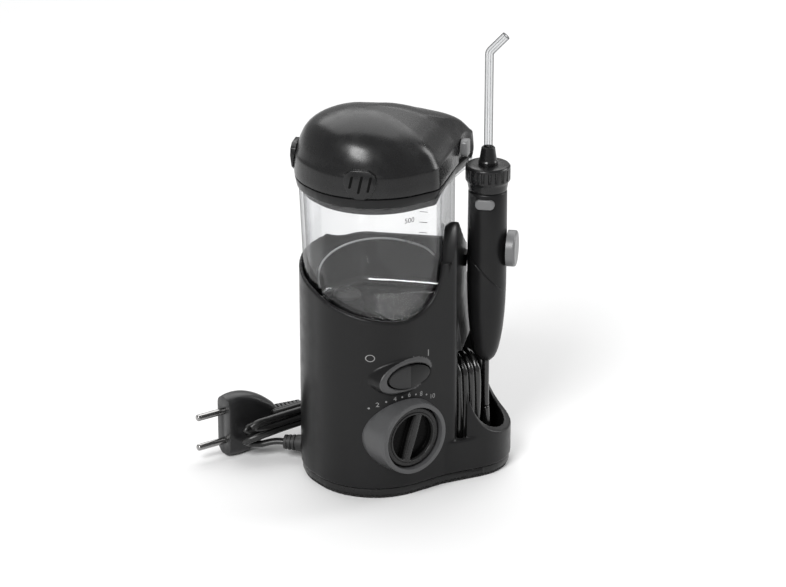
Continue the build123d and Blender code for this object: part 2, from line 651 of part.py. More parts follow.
# ---------------------------------------------------------------- lid: tray and dome
with BuildPart() as tip_tray:
    with BuildSketch(Plane.XY.offset(Z_TRAY)):
        with BuildLine():
            lid_wire(1.4)
        make_face()
    with BuildSketch(Plane.XY.offset(Z_LID - 0.3)):
        with BuildLine():
            lid_wire(0.3)
        make_face()
    loft()
    with BuildSketch(Plane.XY.offset(Z_TRAY + 1.8)):
        with BuildLine():
            lid_wire(4.6)
        make_face()
    extrude(amount=10, mode=Mode.SUBTRACT)
    # plug rim that drops inside the tank mouth
    with BuildSketch(Plane.XY.offset(Z_TRAY)):
        with BuildLine():
            tower_wire(0.9 + TANK_T, 8.9 + TANK_T, 3.7 + TANK_T, nose=9, front=9)
        make_face()
        with BuildLine():
            tower_wire(2.5 + TANK_T, 10.5 + TANK_T, 5.3 + TANK_T, nose=9, front=9)
        make_face(mode=Mode.SUBTRACT)
    extrude(amount=-5.0)
    # window to the space under the dome
    with BuildSketch(Plane.XY.offset(Z_TRAY - 1)):
        with Locations((-3, 0)):
            RectangleRounded(54, 56, 12)
    extrude(amount=4, mode=Mode.SUBTRACT)
    # knuckle for the hinge pin, between the tank's lugs
    with Locations((HINGE_X + 1, 5.5, 180.5), (HINGE_X + 1, -5.5, 180.5)):
        Box(14, 4.2, 8, mode=Mode.SUBTRACT)
    with Locations(Plane(origin=(HINGE_X, 0, HINGE_Z), z_dir=(0, 1, 0))):
        Cylinder(2.2, 6.6)
    with Locations(Plane(origin=(HINGE_X, 0, HINGE_Z), z_dir=(0, 1, 0))):
        Cylinder(1.0, 20, mode=Mode.SUBTRACT)
tip_tray.part.label = "tip_tray"
export_step(tip_tray.part, "parts/tip_tray.step")

# dome sections: height, inset, scale, centre of scaling
DOME = [(Z_LID, 0.0, 1.0, 0.0), (195.0, 0.6, 1.0, 0.0), (204.0, 0.8, 0.925, -14.0), (212.0, 0.8, 0.78, -19.0),
        (218.5, 0.8, 0.56, -14.0), (222.5, 0.8, 0.30, -10.0), (224.0, 0.8, 0.10, -8.0)]
with BuildPart() as lid_dome:
    for z, d, k, cx in DOME:
        with BuildSketch(Plane.XY.offset(z)):
            with BuildLine():
                lid_wire(d, k, cx)
            make_face()
    loft()
    with BuildPart(mode=Mode.PRIVATE) as dome_core:
        for z, d, k, cx in [(Z_LID, 2.4, 1.0, 0.0), (194.5, 3.0, 1.0, 0.0), (202.5, 3.4, 0.92, -14.0), (209.8, 3.4, 0.77, -18.0), (216.0, 3.4, 0.54, -14.0), (220.0, 3.4, 0.28, -10.0)]:
            with BuildSketch(Plane.XY.offset(z)):
                with BuildLine():
                    lid_wire(d, k, cx)
                make_face()
        loft()
    add(dome_core.part, mode=Mode.SUBTRACT)
    # hollow in the flank beside the latch
    with Locations(Plane(origin=(66, -22, 199), z_dir=(0.35, -0.35, 1)), Plane(origin=(66, 22, 199), z_dir=(0.35, 0.35, 1))):
        Cylinder(10.5, 60, mode=Mode.SUBTRACT)
lid_dome.part.label = "lid_dome"
print("lid_dome", len(lid_dome.part.solids()), round(lid_dome.part.volume), lid_dome.part.bounding_box())
export_step(lid_dome.part, "parts/lid_dome.step")

# ribbed half-round grips at both sides of the dome's front left
GRIP_A = [-134.0, 134.0]
with BuildPart() as lid_grips:
    for a in GRIP_A:
        ca, sa = math.cos(math.radians(a)), math.sin(math.radians(a))
        with BuildSketch(Plane(origin=(39.4 * ca, 39.4 * sa, 190.0), x_dir=(-sa, ca, 0), z_dir=(ca, sa, 0))):
            with BuildLine():
                Polyline((-9.5, 3.5), (-6.5, -3.5), (-2.5, -6.2), (2.5, -6.2), (6.5, -3.5), (9.5, 3.5), (8.4, 8.0), (4.6, 10.4), (-4.6, 10.4), (-8.4, 8.0), close=True)
            make_face()
        extrude(amount=6.4)
    with BuildPart(mode=Mode.PRIVATE) as grip_cut:
        for z, d, k, cx in DOME[:3]:
            with BuildSketch(Plane.XY.offset(z)):
                with BuildLine():
                    lid_wire(d - 0.02, k, cx)
                make_face()
        loft()
    add(grip_cut.part, mode=Mode.SUBTRACT)
lid_grips.part.label = "lid_grips"
export_step(lid_grips.part, "parts/lid_grips.step")
print("lid_grips", [(round(q.volume, 1), q.bounding_box()) for q in lid_grips.part.solids()])

# lugs on both flanks of the dome, in its side hollows
with BuildPart() as lid_side_lugs:
    for q in (1, -1):
        with BuildSketch(Plane(origin=(52.4, -13.4 * q, 192.2), x_dir=(0.78 * q, 0.63, 0), z_dir=(0.63, -0.78 * q, 0))):
            RectangleRounded(8.0, 9.4, 2.0)
        extrude(amount=3.6)
    with BuildPart(mode=Mode.PRIVATE) as lug_cut:
        for z, d, k, cx in DOME[:3]:
            with BuildSketch(Plane.XY.offset(z)):
                with BuildLine():
                    lid_wire(d - 0.02, k, cx)
                make_face()
        loft()
        with Locations(Plane(origin=(66, -22, 199), z_dir=(0.35, -0.35, 1)), Plane(origin=(66, 22, 199), z_dir=(0.35, 0.35, 1))):
            Cylinder(10.48, 60, mode=Mode.SUBTRACT)
    add(lug_cut.part, mode=Mode.SUBTRACT)
lid_side_lugs.part.label = "lid_side_lugs"
export_step(lid_side_lugs.part, "parts/lid_side_lugs.step")
print("lid_side_lugs", [(round(q.volume, 1), q.bounding_box()) for q in lid_side_lugs.part.solids()])

with BuildPart() as lid_hinge_pin:
    with Locations(Plane(origin=(HINGE_X, 0, HINGE_Z), z_dir=(0, 1, 0))):
        Cylinder(1.0, 13.0)
lid_hinge_pin.part.label = "lid_hinge_pin"
export_step(lid_hinge_pin.part, "parts/lid_hinge_pin.step")

# ---------------------------------------------------------------- handle
HANDLE = [(66.2, 3.1), (68.5, 5.0), (73.0, 7.0), (80.0, 8.6), (90.0, 10.0), (102.0, 10.9), (118.0, H_R), (145.0, H_R), (171.2, 11.1)]
H_AX = Plane(origin=(HX, HY, 0), x_dir=(S, -S, 0), z_dir=(0, 0, 1))
H_SEC = Plane(origin=(HX, HY, 0), x_dir=(S, -S, 0), z_dir=(-S, -S, 0))   # local x = outward, local y = up
H_AXIS = Axis((HX, HY, 0), (0, 0, 1))
SPLIT = Plane(origin=(HX, HY, 121.5), z_dir=(0.579, -0.406, 0.707))
BTN_Z, KNOB_Z = 165.6, 136.2
BTN = Plane(origin=(HX, HY, BTN_Z), x_dir=(S, -S, 0), z_dir=(-S, -S, 0))   # eject button faces front left
KNOB = Plane(origin=(HX, HY, KNOB_Z), x_dir=(0, 0, 1), z_dir=(S, -S, 0))   # pause knob faces outward

with BuildPart() as handle_whole:
    with BuildSketch(H_SEC):
        with BuildLine():
            Polyline((0, HANDLE[0][0]), (HANDLE[0][1], HANDLE[0][0]))
            Spline(*[(r, z) for z, r in HANDLE[:7]], tangents=[(1, 0.5), (0.05, 1)])
            Polyline((H_R, 118.0), (H_R, 145.0), (11.1, 171.2), (0, 171.2), (0, HANDLE[0][0]))
        make_face()
    revolve(axis=H_AXIS)
    with BuildSketch(H_SEC):
        with BuildLine():
            Polyline((0, 71.5), (4.4, 71.5))
            Spline((4.4, 71.5), (6.5, 80.0), (7.9, 90.0), (8.8, 102.0), (9.2, 118.0), tangents=[(0.6, 1), (0.05, 1)])
            Polyline((9.2, 118.0), (9.2, 145.0), (9.0, 168.6), (0, 168.6), (0, 71.5))
        make_face()
    revolve(axis=H_AXIS, mode=Mode.SUBTRACT)
    # hose hole, tip hole, button window, slot for the pause knob
    with Locations(Plane(origin=(HX, HY, 68))):
        Cylinder(HOSE_D / 2 + 0.05, 10, mode=Mode.SUBTRACT)
    with Locations(Plane(origin=(HX, HY, 170))):
        Cylinder(4.6, 6, mode=Mode.SUBTRACT)
    with BuildSketch(BTN):
        RectangleRounded(11.6, 6.4, 2.9)
    extrude(amount=20, mode=Mode.SUBTRACT)
    with BuildSketch(KNOB):
        with Locations((-1.75, 0)):
            RectangleRounded(9.4, 4.4, 2.1)
    extrude(amount=20, mode=Mode.SUBTRACT)

with BuildPart() as handle_body:
    add(handle_whole.part)
    split(bisect_by=SPLIT, keep=Keep.TOP)
handle_body.part.label = "handle_body"
export_step(handle_body.part, "parts/handle_body.step")
with BuildPart() as handle_cover:
    add(handle_whole.part)
    split(bisect_by=SPLIT, keep=Keep.BOTTOM)
handle_cover.part.label = "handle_cover"
export_step(handle_cover.part, "parts/handle_cover.step")
print("handle", len(handle_body.part.solids()), len(handle_cover.part.solids()))

with BuildPart() as water_pipe:
    with BuildSketch(Plane.XY.offset(72.0)):
        with Locations((HX, HY)):
            Circle(2.4)
    extrude(amount=91.0)
    with BuildSketch(Plane.XY.offset(150.0)):
        with Locations((HX, HY)):
            Circle(3.6)
    extrude(amount=13.0)
    with BuildSketch(Plane.XY.offset(60.0)):
        with Locations((HX, HY)):
            Circle(1.3)
    extrude(amount=120.0, mode=Mode.SUBTRACT)
    # valve chamber crossing the pipe behind the pause knob
    with BuildSketch(KNOB.offset(-2.5)):
        with Locations((-1.75, 0)):
            RectangleRounded(13.0, 6.0, 1.0)
    extrude(amount=7.0)
    with BuildSketch(KNOB.offset(0.0)):
        with Locations((-1.75, 0)):
            RectangleRounded(9.4, 3.2, 1.0)
    extrude(amount=8.0, mode=Mode.SUBTRACT)
    # saddles that hold the pipe in the shells
    for z in (84.0, 150.0):
        with BuildSketch(Plane.XY.offset(z)):
            with Locations((HX, HY)):
                Circle(7.3 if z < 100 else 9.0)
                Circle(2.39, mode=Mode.SUBTRACT)
        extrude(amount=1.6 if z > 100 else 1.2)
water_pipe.part.label = "water_pipe"
export_step(water_pipe.part, "parts/water_pipe.step")
print("water_pipe", [(round(q.volume, 1), q.bounding_box()) for q in water_pipe.part.solids()])

with BuildPart() as pause_slider:
    with BuildSketch(KNOB.offset(11.9)):
        Circle(10.5)
    extrude(amount=5.3)
    fillet(pause_slider.faces().sort_by(Axis(origin=(0, 0, 0), direction=(S, -S, 0)))[-1].edges(), 1.4)
    with BuildSketch(Plane.XY.offset(KNOB_Z)):
        with Locations((HX, HY)):
            Circle(H_R + 0.3)
    extrude(amount=20, both=True, mode=Mode.SUBTRACT)
    with BuildSketch(KNOB.offset(11.3)):
        Circle(5.5)
    extrude(amount=1.0)
    with BuildSketch(Plane.XY.offset(KNOB_Z)):
        with Locations((HX, HY)):
            Circle(H_R + 0.3)
    extrude(amount=20, both=True, mode=Mode.SUBTRACT)
    with BuildSketch(KNOB.offset(0.4)):
        Circle(1.5)
    extrude(amount=14.0)
pause_slider.part.label = "pause_slider"
export_step(pause_slider.part, "parts/pause_slider.step")
print("pause_slider", len(pause_slider.part.solids()))

with BuildPart() as eject_button:
    with BuildSketch(BTN.offset(6.4)):
        RectangleRounded(11.0, 5.8, 2.7)
    extrude(amount=6.0)
    fillet(eject_button.faces().sort_by(Axis(origin=(0, 0, 0), direction=(-S, -S, 0)))[-1].edges(), 0.7)
    with BuildSketch(BTN.offset(6.4)):
        Circle(1.7)
    extrude(amount=1.3, mode=Mode.SUBTRACT)
eject_button.part.label = "eject_button"
export_step(eject_button.part, "parts/eject_button.step")

with BuildPart() as eject_spring:
    with BuildLine() as coil:
        Helix(pitch=0.65, height=1.3, radius=1.2, center=(0, 0, 0))
    with BuildSketch(Plane(origin=coil.line @ 0, z_dir=coil.line % 0)):
        Circle(0.18)
    sweep(path=coil.line, is_frenet=True)
with BuildPart() as eject_spring_placed:
    add(eject_spring.part.moved(BTN.offset(4.82).location))
eject_spring_placed.part.label = "eject_spring"
export_step(eject_spring_placed.part, "parts/eject_spring.step")

# ---------------------------------------------------------------- tip rotator collar and jet tip
with BuildPart() as rotator_collar:
    with BuildSketch(H_SEC):
        with BuildLine():
            Polyline((2.8, 171.6), (11.0, 171.6), (11.2, 173.0), (11.7, 176.0), (12.8, 177.6), (12.8, 185.4), (11.9, 186.4), (2.8, 186.4), close=True)
        make_face()
    revolve(axis=H_AXIS)
    with BuildSketch(H_SEC):
        with BuildLine():
            Polyline((5.0, 171.0), (9.6, 171.0), (9.6, 183.8), (5.0, 183.8), close=True)
        make_face()
    revolve(axis=H_AXIS, mode=Mode.SUBTRACT)
    # grip flutes
    with BuildSketch(Plane.XY.offset(178.4)):
        with Locations((HX, HY)):
            with PolarLocations(13.0, 20, start_angle=4):
                Circle(0.9)
    extrude(amount=6.2, mode=Mode.SUBTRACT)
    # neck that turns in the top of the handle
    with BuildSketch(Plane.XY.offset(164.4)):
        with Locations((HX, HY)):
            Circle(4.54)
            Circle(2.8, mode=Mode.SUBTRACT)
    extrude(amount=8.0)
rotator_collar.part.label = "rotator_collar"
export_step(rotator_collar.part, "parts/rotator_collar.step")

with BuildPart() as collar_seal:
    with BuildSketch(H_SEC):
        with Locations((5.16, 167.64)):
            Circle(0.6)
    revolve(axis=H_AXIS)
collar_seal.part.label = "collar_seal"
export_step(collar_seal.part, "parts/collar_seal.step")

BEND_Z, END_L, END_A = 252.4, 13.6, math.radians(47)
tip_dir = (S * math.cos(END_A), -S * math.cos(END_A), math.sin(END_A))
with BuildPart() as jet_tip:
    with BuildLine(mode=Mode.PRIVATE) as tip_line:
        FilletPolyline((HX, HY, 166.0), (HX, HY, BEND_Z), (HX + tip_dir[0] * END_L, HY + tip_dir[1] * END_L, BEND_Z + tip_dir[2] * END_L), radius=3.6)
    with BuildSketch(Plane(origin=tip_line.line @ 0, z_dir=tip_line.line % 0)):
        Circle(2.45)
    sweep(path=tip_line.line)
    with BuildSketch(Plane.XY.offset(166.0)):
        with Locations((HX, HY)):
            Circle(2.72)
    extrude(amount=30)
    with BuildSketch(Plane(origin=tip_line.line @ 0, z_dir=tip_line.line % 0)):
        Circle(0.9)
    sweep(path=tip_line.line, mode=Mode.SUBTRACT)
jet_tip.part.label = "jet_tip"
export_step(jet_tip.part, "parts/jet_tip.step")
print("jet_tip", len(jet_tip.part.solids()), jet_tip.part.bounding_box())

with BuildPart() as tip_cone:
    with BuildSketch(H_SEC):
        with BuildLine():
            Polyline((2.72, 186.5), (5.5, 186.5), (5.5, 188.2), (5.0, 189.0), (3.9, 196.2), (3.3, 196.8), (2.72, 196.8), close=True)
        make_face()
    revolve(axis=H_AXIS)
tip_cone.part.label = "tip_cone"
export_step(tip_cone.part, "parts/tip_cone.step")

# ---------------------------------------------------------------- hose
# route of the free stretch, from the handle down to the coil in the well
hose_route = [(HX, HY, 66.3), (HX, HY - 0.1, 46.0), (HX - 0.1, HY - 0.3, 29.0), (HX - 0.6, HY - 0.7, 17.5), (HX - 4.6, HY - 1.1, 12.4), (47.0, HY - 1.3, 12.1)]


def arc_radii(route, share=0.45):
    """Radius of each tangent arc: a share of the shorter run over the tangent of half the turn."""
    radii = []
    for a, b, c in zip(route, route[1:], route[2:]):
        u, v = Vector(*b) - Vector(*a), Vector(*c) - Vector(*b)
        turn = math.radians(u.get_angle(v))
        radii.append(share * min(u.length, v.length) / math.tan(turn / 2))
    return radii


def route_report(name, route, dia, tube):
    runs = [(Vector(*b) - Vector(*a)).length for a, b in zip(route, route[1:])]
    print(name, "radii", [round(r, 1) for r in arc_radii(route)], "runs", [round(r, 1) for r in runs],
          "line", round(tube[1], 1), "volume ratio", round(tube[0] / (math.pi * dia * dia / 4 * tube[1]), 4))


with BuildPart() as water_hose:
    with BuildLine() as hose_line:
        FilletPolyline(*hose_route, radius=arc_radii(hose_route))
    with BuildSketch(Plane(origin=hose_line.line @ 0, z_dir=hose_line.line % 0)):
        Circle(HOSE_D / 2)
    sweep(path=hose_line.line)
water_hose.part.label = "water_hose"
export_step(water_hose.part, "parts/water_hose.step")
route_report("water_hose", hose_route, HOSE_D, (water_hose.part.volume, hose_line.wires()[0].length))

COIL_X0, COIL_X1 = 30.2, 46.8
with BuildPart() as hose_coil:
    with BuildSketch(Plane(origin=(COIL_X0, -23.6, 41.6), x_dir=(0, 1, 0), z_dir=(1, 0, 0))):
        SlotCenterToCenter(33.0, 32.0, rotation=90)
        SlotCenterToCenter(33.0, 20.0, rotation=90, mode=Mode.SUBTRACT)
    extrude(amount=COIL_X1 - COIL_X0)
hose_coil.part.label = "hose_coil"
export_step(hose_coil.part, "parts/hose_coil.step")

# ---------------------------------------------------------------- mains lead, hank, plug
G_DIR = (-0.67, 0.742, 0)
G0 = (-27.2, 31.8, 10.6)
with BuildPart() as cord_gland:
    with BuildSketch(Plane(origin=(G0[0] - 3.0 * G_DIR[0], G0[1] - 3.0 * G_DIR[1], G0[2]), z_dir=G_DIR)):
        Circle(3.9)
    extrude(amount=4.5)
    with BuildSketch(Plane(origin=(G0[0] + 1.4 * G_DIR[0], G0[1] + 1.4 * G_DIR[1], G0[2]), z_dir=G_DIR)):
        Circle(5.2)
    extrude(amount=11.0, taper=5)
    with BuildSketch(Plane(origin=(G0[0] + 1.4 * G_DIR[0], G0[1] + 1.4 * G_DIR[1], G0[2]), z_dir=G_DIR)):
        Circle(3.88)
    extrude(amount=-1.5)
    for k in (3.6, 6.0, 8.4):
        with BuildSketch(Plane(origin=(G0[0] + (1.4 + k) * G_DIR[0], G0[1] + (1.4 + k) * G_DIR[1], G0[2]), z_dir=G_DIR)):
            Circle(8)
            Circle(3.7, mode=Mode.SUBTRACT)
        extrude(amount=1.0, mode=Mode.SUBTRACT)
cord_gland.part.label = "cord_gland"
export_step(cord_gland.part, "parts/cord_gland.step")
print("cord_gland", len(cord_gland.part.solids()))
GE = tuple(G0[i] + 12.4 * G_DIR[i] for i in range(3))

cord_route = [GE, (GE[0] + 7.5 * G_DIR[0], GE[1] + 7.5 * G_DIR[1], GE[2]), (-47.2, 49.6, 12.4), (-52.6, 50.0, 17.6)]
with BuildPart() as power_cord:
    with BuildLine() as cord_line:
        FilletPolyline(*cord_route, radius=arc_radii(cord_route))
    with BuildSketch(Plane(origin=cord_line.line @ 0, z_dir=cord_line.line % 0)):
        Circle(CORD_D / 2)
    sweep(path=cord_line.line)
power_cord.part.label = "power_cord"
export_step(power_cord.part, "parts/power_cord.step")
route_report("power_cord", cord_route, CORD_D, (power_cord.part.volume, cord_line.wires()[0].length))

HK_Z0, HK_Z1 = 15.8, 27.4
HK_C, HK_ANG = (-6.0, 50.9), math.degrees(math.atan2(6, 94))
with BuildPart() as cord_hank:
    with BuildSketch(Plane.XY.offset(HK_Z0)):
        with Locations(Location((HK_C[0], HK_C[1], 0), (0, 0, HK_ANG))):
            SlotOverall(104, 13.4)
    extrude(amount=HK_Z1 - HK_Z0)
    fillet(cord_hank.faces().filter_by(Axis.Z).edges(), 2.0)
cord_hank.part.label = "cord_hank"
export_step(cord_hank.part, "parts/cord_hank.step")

with BuildPart() as cord_tie:
    with BuildSketch(Plane(origin=(-12.0, 50.5, (HK_Z0 + HK_Z1) / 2), x_dir=(0, 0, 1), z_dir=(math.cos(math.radians(HK_ANG)), math.sin(math.radians(HK_ANG)), 0))):
        RectangleRounded(HK_Z1 - HK_Z0 + 2.0, 15.4, 2.6)
        RectangleRounded(HK_Z1 - HK_Z0 + 0.04, 13.44, 1.6, mode=Mode.SUBTRACT)
    extrude(amount=2.6)
    add(cord_hank.part, mode=Mode.SUBTRACT)
cord_tie.part.label = "cord_tie"
export_step(cord_tie.part, "parts/cord_tie.step")
print("cord_tie", len(cord_tie.part.solids()))

PL_X, PL_Y, PL_Z = -62.5, 65.0, 19.0
with BuildPart() as plug_body:
    # seen from the pins: a tall flat oval; seen from the side: narrowing to the lead
    with BuildSketch(Plane(origin=(PL_X, PL_Y, PL_Z), x_dir=(0, 0, 1), z_dir=(1, 0, 0))):
        RectangleRounded(36.4, 13.4, 5.6)
    with BuildSketch(Plane(origin=(PL_X + 12, PL_Y, PL_Z), x_dir=(0, 0, 1), z_dir=(1, 0, 0))):
        RectangleRounded(38.0, 14.0, 6.0)
    with BuildSketch(Plane(origin=(PL_X + 22, PL_Y, PL_Z), x_dir=(0, 0, 1), z_dir=(1, 0, 0))):
        RectangleRounded(31.0, 13.2, 6.0)
    with BuildSketch(Plane(origin=(PL_X + 33, PL_Y, PL_Z), x_dir=(0, 0, 1), z_dir=(1, 0, 0))):
        RectangleRounded(15.0, 11.6, 5.2)
    loft()
    for q in (9.5, -9.5):
        with BuildSketch(Plane(origin=(PL_X, PL_Y, PL_Z + q), z_dir=(1, 0, 0))):
            Circle(1.6)
        extrude(amount=8.0, mode=Mode.SUBTRACT)
plug_body.part.label = "plug_body"
export_step(plug_body.part, "parts/plug_body.step")

with BuildPart() as plug_pins:
    for q in (9.5, -9.5):
        with BuildSketch(Plane(origin=(PL_X + 8.0, PL_Y, PL_Z + q), z_dir=(-1, 0, 0))):
            Circle(1.6)
        extrude(amount=8.0)
        with BuildSketch(Plane(origin=(PL_X - 0.1, PL_Y, PL_Z + q), z_dir=(-1, 0, 0))):
            Circle(2.0)
        extrude(amount=18.5)
    fillet(plug_pins.edges().group_by(Axis.X)[0], 1.1)
plug_pins.part.label = "plug_pins"
export_step(plug_pins.part, "parts/plug_pins.step")

with BuildPart() as plug_relief:
    with BuildSketch(Plane(origin=(PL_X + 33, PL_Y, PL_Z), z_dir=(1, 0, 0))):
        Circle(4.6)
    with BuildSketch(Plane(origin=(PL_X + 53, PL_Y, PL_Z), z_dir=(1, 0, 0))):
        Circle(3.2)
    loft()
    for k in range(6):
        with BuildSketch(Plane(origin=(PL_X + 36 + 2.8 * k, PL_Y, PL_Z), z_dir=(1, 0, 0))):
            Circle(9)
            Circle(3.5 - 0.18 * k, mode=Mode.SUBTRACT)
        extrude(amount=1.2, mode=Mode.SUBTRACT)
plug_relief.part.label = "plug_relief"
export_step(plug_relief.part, "parts/plug_relief.step")
print("plug_relief", len(plug_relief.part.solids()))

lead_route = [(PL_X + 53, PL_Y, PL_Z), (1.0, 64.8, 19.6), (10.5, 62.0, 20.6), (19.5, 56.5, 21.6), (27.0, 52.6, 21.6)]
with BuildPart() as plug_lead:
    with BuildLine() as lead_line:
        FilletPolyline(*lead_route, radius=arc_radii(lead_route))
    with BuildSketch(Plane(origin=lead_line.line @ 0, z_dir=lead_line.line % 0)):
        Circle(CORD_D / 2)
    sweep(path=lead_line.line)
plug_lead.part.label = "plug_lead"
export_step(plug_lead.part, "parts/plug_lead.step")
route_report("plug_lead", lead_route, CORD_D, (plug_lead.part.volume, lead_line.wires()[0].length))
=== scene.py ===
import json
import math
import random

import bmesh
import bpy
import numpy as np
from mathutils import Matrix, Vector
from mathutils.bvhtree import BVHTree

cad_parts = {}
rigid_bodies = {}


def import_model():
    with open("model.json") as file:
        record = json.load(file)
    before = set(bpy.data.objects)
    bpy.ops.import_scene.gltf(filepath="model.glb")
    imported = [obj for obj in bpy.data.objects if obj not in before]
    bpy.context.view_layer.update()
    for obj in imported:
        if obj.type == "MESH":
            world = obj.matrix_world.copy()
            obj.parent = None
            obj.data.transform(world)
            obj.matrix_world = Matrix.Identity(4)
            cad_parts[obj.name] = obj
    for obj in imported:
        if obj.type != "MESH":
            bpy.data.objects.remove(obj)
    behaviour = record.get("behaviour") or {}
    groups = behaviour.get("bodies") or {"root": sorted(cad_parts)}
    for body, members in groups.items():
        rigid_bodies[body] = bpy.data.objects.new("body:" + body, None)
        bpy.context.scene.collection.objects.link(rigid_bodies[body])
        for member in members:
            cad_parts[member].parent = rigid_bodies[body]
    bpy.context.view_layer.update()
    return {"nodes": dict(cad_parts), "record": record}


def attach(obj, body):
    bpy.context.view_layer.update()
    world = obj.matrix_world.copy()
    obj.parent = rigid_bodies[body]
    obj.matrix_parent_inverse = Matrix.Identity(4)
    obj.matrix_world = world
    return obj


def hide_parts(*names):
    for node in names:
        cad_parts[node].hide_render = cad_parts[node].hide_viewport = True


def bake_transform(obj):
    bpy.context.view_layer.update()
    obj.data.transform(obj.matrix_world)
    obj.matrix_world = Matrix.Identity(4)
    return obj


random.seed(7)
rng = np.random.default_rng(7)

for o in list(bpy.data.objects):
    bpy.data.objects.remove(o, do_unlink=True)

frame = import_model()
nodes = frame["nodes"]
record = frame["record"]
MM = 0.001
S = math.sqrt(0.5)


# ---------------------------------------------------------------- materials
class Mat:
    def __init__(self, name):
        self.m = bpy.data.materials.new(name)
        self.m.use_nodes = True
        self.t = self.m.node_tree
        self.b = self.t.nodes["Principled BSDF"]
        self.co = self.t.nodes.new("ShaderNodeTexCoord")

    def noise(self, scale, detail=3.0, rough=0.5, stretch=None):
        n = self.t.nodes.new("ShaderNodeTexNoise")
        n.inputs["Scale"].default_value = scale
        n.inputs["Detail"].default_value = detail
        n.inputs["Roughness"].default_value = rough
        if stretch:
            mp = self.t.nodes.new("ShaderNodeMapping")
            mp.inputs["Scale"].default_value = stretch
            self.t.links.new(self.co.outputs["Object"], mp.inputs["Vector"])
            self.t.links.new(mp.outputs["Vector"], n.inputs["Vector"])
        else:
            self.t.links.new(self.co.outputs["Object"], n.inputs["Vector"])
        return n

    def ramp(self, fac, stops):
        r = self.t.nodes.new("ShaderNodeValToRGB")
        e = r.color_ramp.elements
        e[0].position, e[0].color = stops[0][0], (*stops[0][1], 1)
        e[1].position, e[1].color = stops[-1][0], (*stops[-1][1], 1)
        for p, c in stops[1:-1]:
            k = e.new(p)
            k.color = (*c, 1)
        self.t.links.new(fac, r.inputs["Fac"])
        return r

    def rng(self, fac, a, b, lo=0.3, hi=0.7):
        n = self.t.nodes.new("ShaderNodeMapRange")
        n.inputs["From Min"].default_value = lo
        n.inputs["From Max"].default_value = hi
        n.inputs["To Min"].default_value = a
        n.inputs["To Max"].default_value = b
        self.t.links.new(fac, n.inputs["Value"])
        return n.outputs["Result"]

    def bump(self, height, strength, dist, prev=None):
        n = self.t.nodes.new("ShaderNodeBump")
        n.inputs["Strength"].default_value = strength
        n.inputs["Distance"].default_value = dist
        self.t.links.new(height, n.inputs["Height"])
        if prev is not None:
            self.t.links.new(prev, n.inputs["Normal"])
        self.t.links.new(n.outputs["Normal"], self.b.inputs["Normal"])
        return n.outputs["Normal"]


def moulded(name, col, rough, grain=0.12, grain_scale=2600.0, spread=0.12, spec=0.5, coat=0.0, coat_rough=0.1, drift=0.06):
    """Moulded plastic or rubber: slight tone drift, fine spark-eroded grain, uneven gloss."""
    m = Mat(name)
    big = m.noise(38.0, 4.0, 0.55)
    lo = tuple(c * (1 - spread) for c in col)
    hi = tuple(c * (1 + spread) for c in col)
    r = m.ramp(big.outputs["Fac"], [(0.3, lo), (0.7, hi)])
    m.t.links.new(r.outputs["Color"], m.b.inputs["Base Color"])
    mid = m.noise(160.0, 3.0, 0.6)
    m.t.links.new(m.rng(mid.outputs["Fac"], max(rough - drift, 0.02), rough + drift), m.b.inputs["Roughness"])
    fine = m.noise(grain_scale, 2.0, 0.5)
    m.bump(fine.outputs["Fac"], grain, 0.00006)
    m.b.inputs["Specular IOR Level"].default_value = spec
    m.b.inputs["Coat Weight"].default_value = coat
    m.b.inputs["Coat Roughness"].default_value = coat_rough
    return m.m


def metal(name, col, rough, brushed=None):
    m = Mat(name)
    m.b.inputs["Metallic"].default_value = 1.0
    n = m.noise(900.0, 3.0, 0.6, stretch=brushed)
    r = m.ramp(n.outputs["Fac"], [(0.3, tuple(c * 0.86 for c in col)), (0.7, col)])
    m.t.links.new(r.outputs["Color"], m.b.inputs["Base Color"])
    m.t.links.new(m.rng(n.outputs["Fac"], rough * 0.7, rough * 1.4), m.b.inputs["Roughness"])
    m.bump(n.outputs["Fac"], 0.08, 0.00003)
    return m.m


def clear(name, stops, rough, ior=1.49, cap=0.3):
    """Clear moulded plastic, a thin wall: passes light and mirrors like the plastic does; the passed light is painted
    grey towards the edges, darkest at grazing, as painted dark edge reflections.
    """
    m = Mat(name)
    m.t.nodes.remove(m.b)
    out = m.t.nodes["Material Output"]
    lw = m.t.nodes.new("ShaderNodeLayerWeight")
    lw.inputs["Blend"].default_value = 0.5
    # painted dark edge reflections: the transparent colour darkens along these stops from facing to grazing
    r = m.ramp(lw.outputs["Facing"], stops)
    tr = m.t.nodes.new("ShaderNodeBsdfTransparent")
    m.t.links.new(r.outputs["Color"], tr.inputs["Color"])
    gl = m.t.nodes.new("ShaderNodeBsdfGlossy")
    n = m.noise(90.0, 2.0, 0.5)
    m.t.links.new(m.rng(n.outputs["Fac"], rough * 0.6, rough * 1.4), gl.inputs["Roughness"])
    b = m.t.nodes.new("ShaderNodeBump")
    b.inputs["Strength"].default_value = 0.05
    b.inputs["Distance"].default_value = 0.0004
    m.t.links.new(n.outputs["Fac"], b.inputs["Height"])
    m.t.links.new(b.outputs["Normal"], gl.inputs["Normal"])
    f0 = ((ior - 1) / (ior + 1)) ** 2
    fr = m.ramp(lw.outputs["Facing"], [(f, (min(f0 + (1 - f0) * f**5, cap),) * 3) for f in (0.0, 0.4, 0.6, 0.75, 0.88, 1.0)])
    mix = m.t.nodes.new("ShaderNodeMixShader")
    m.t.links.new(fr.outputs["Color"], mix.inputs["Fac"])
    m.t.links.new(tr.outputs["BSDF"], mix.inputs[1])
    m.t.links.new(gl.outputs["BSDF"], mix.inputs[2])
    m.t.links.new(mix.outputs["Shader"], out.inputs["Surface"])
    return m.m


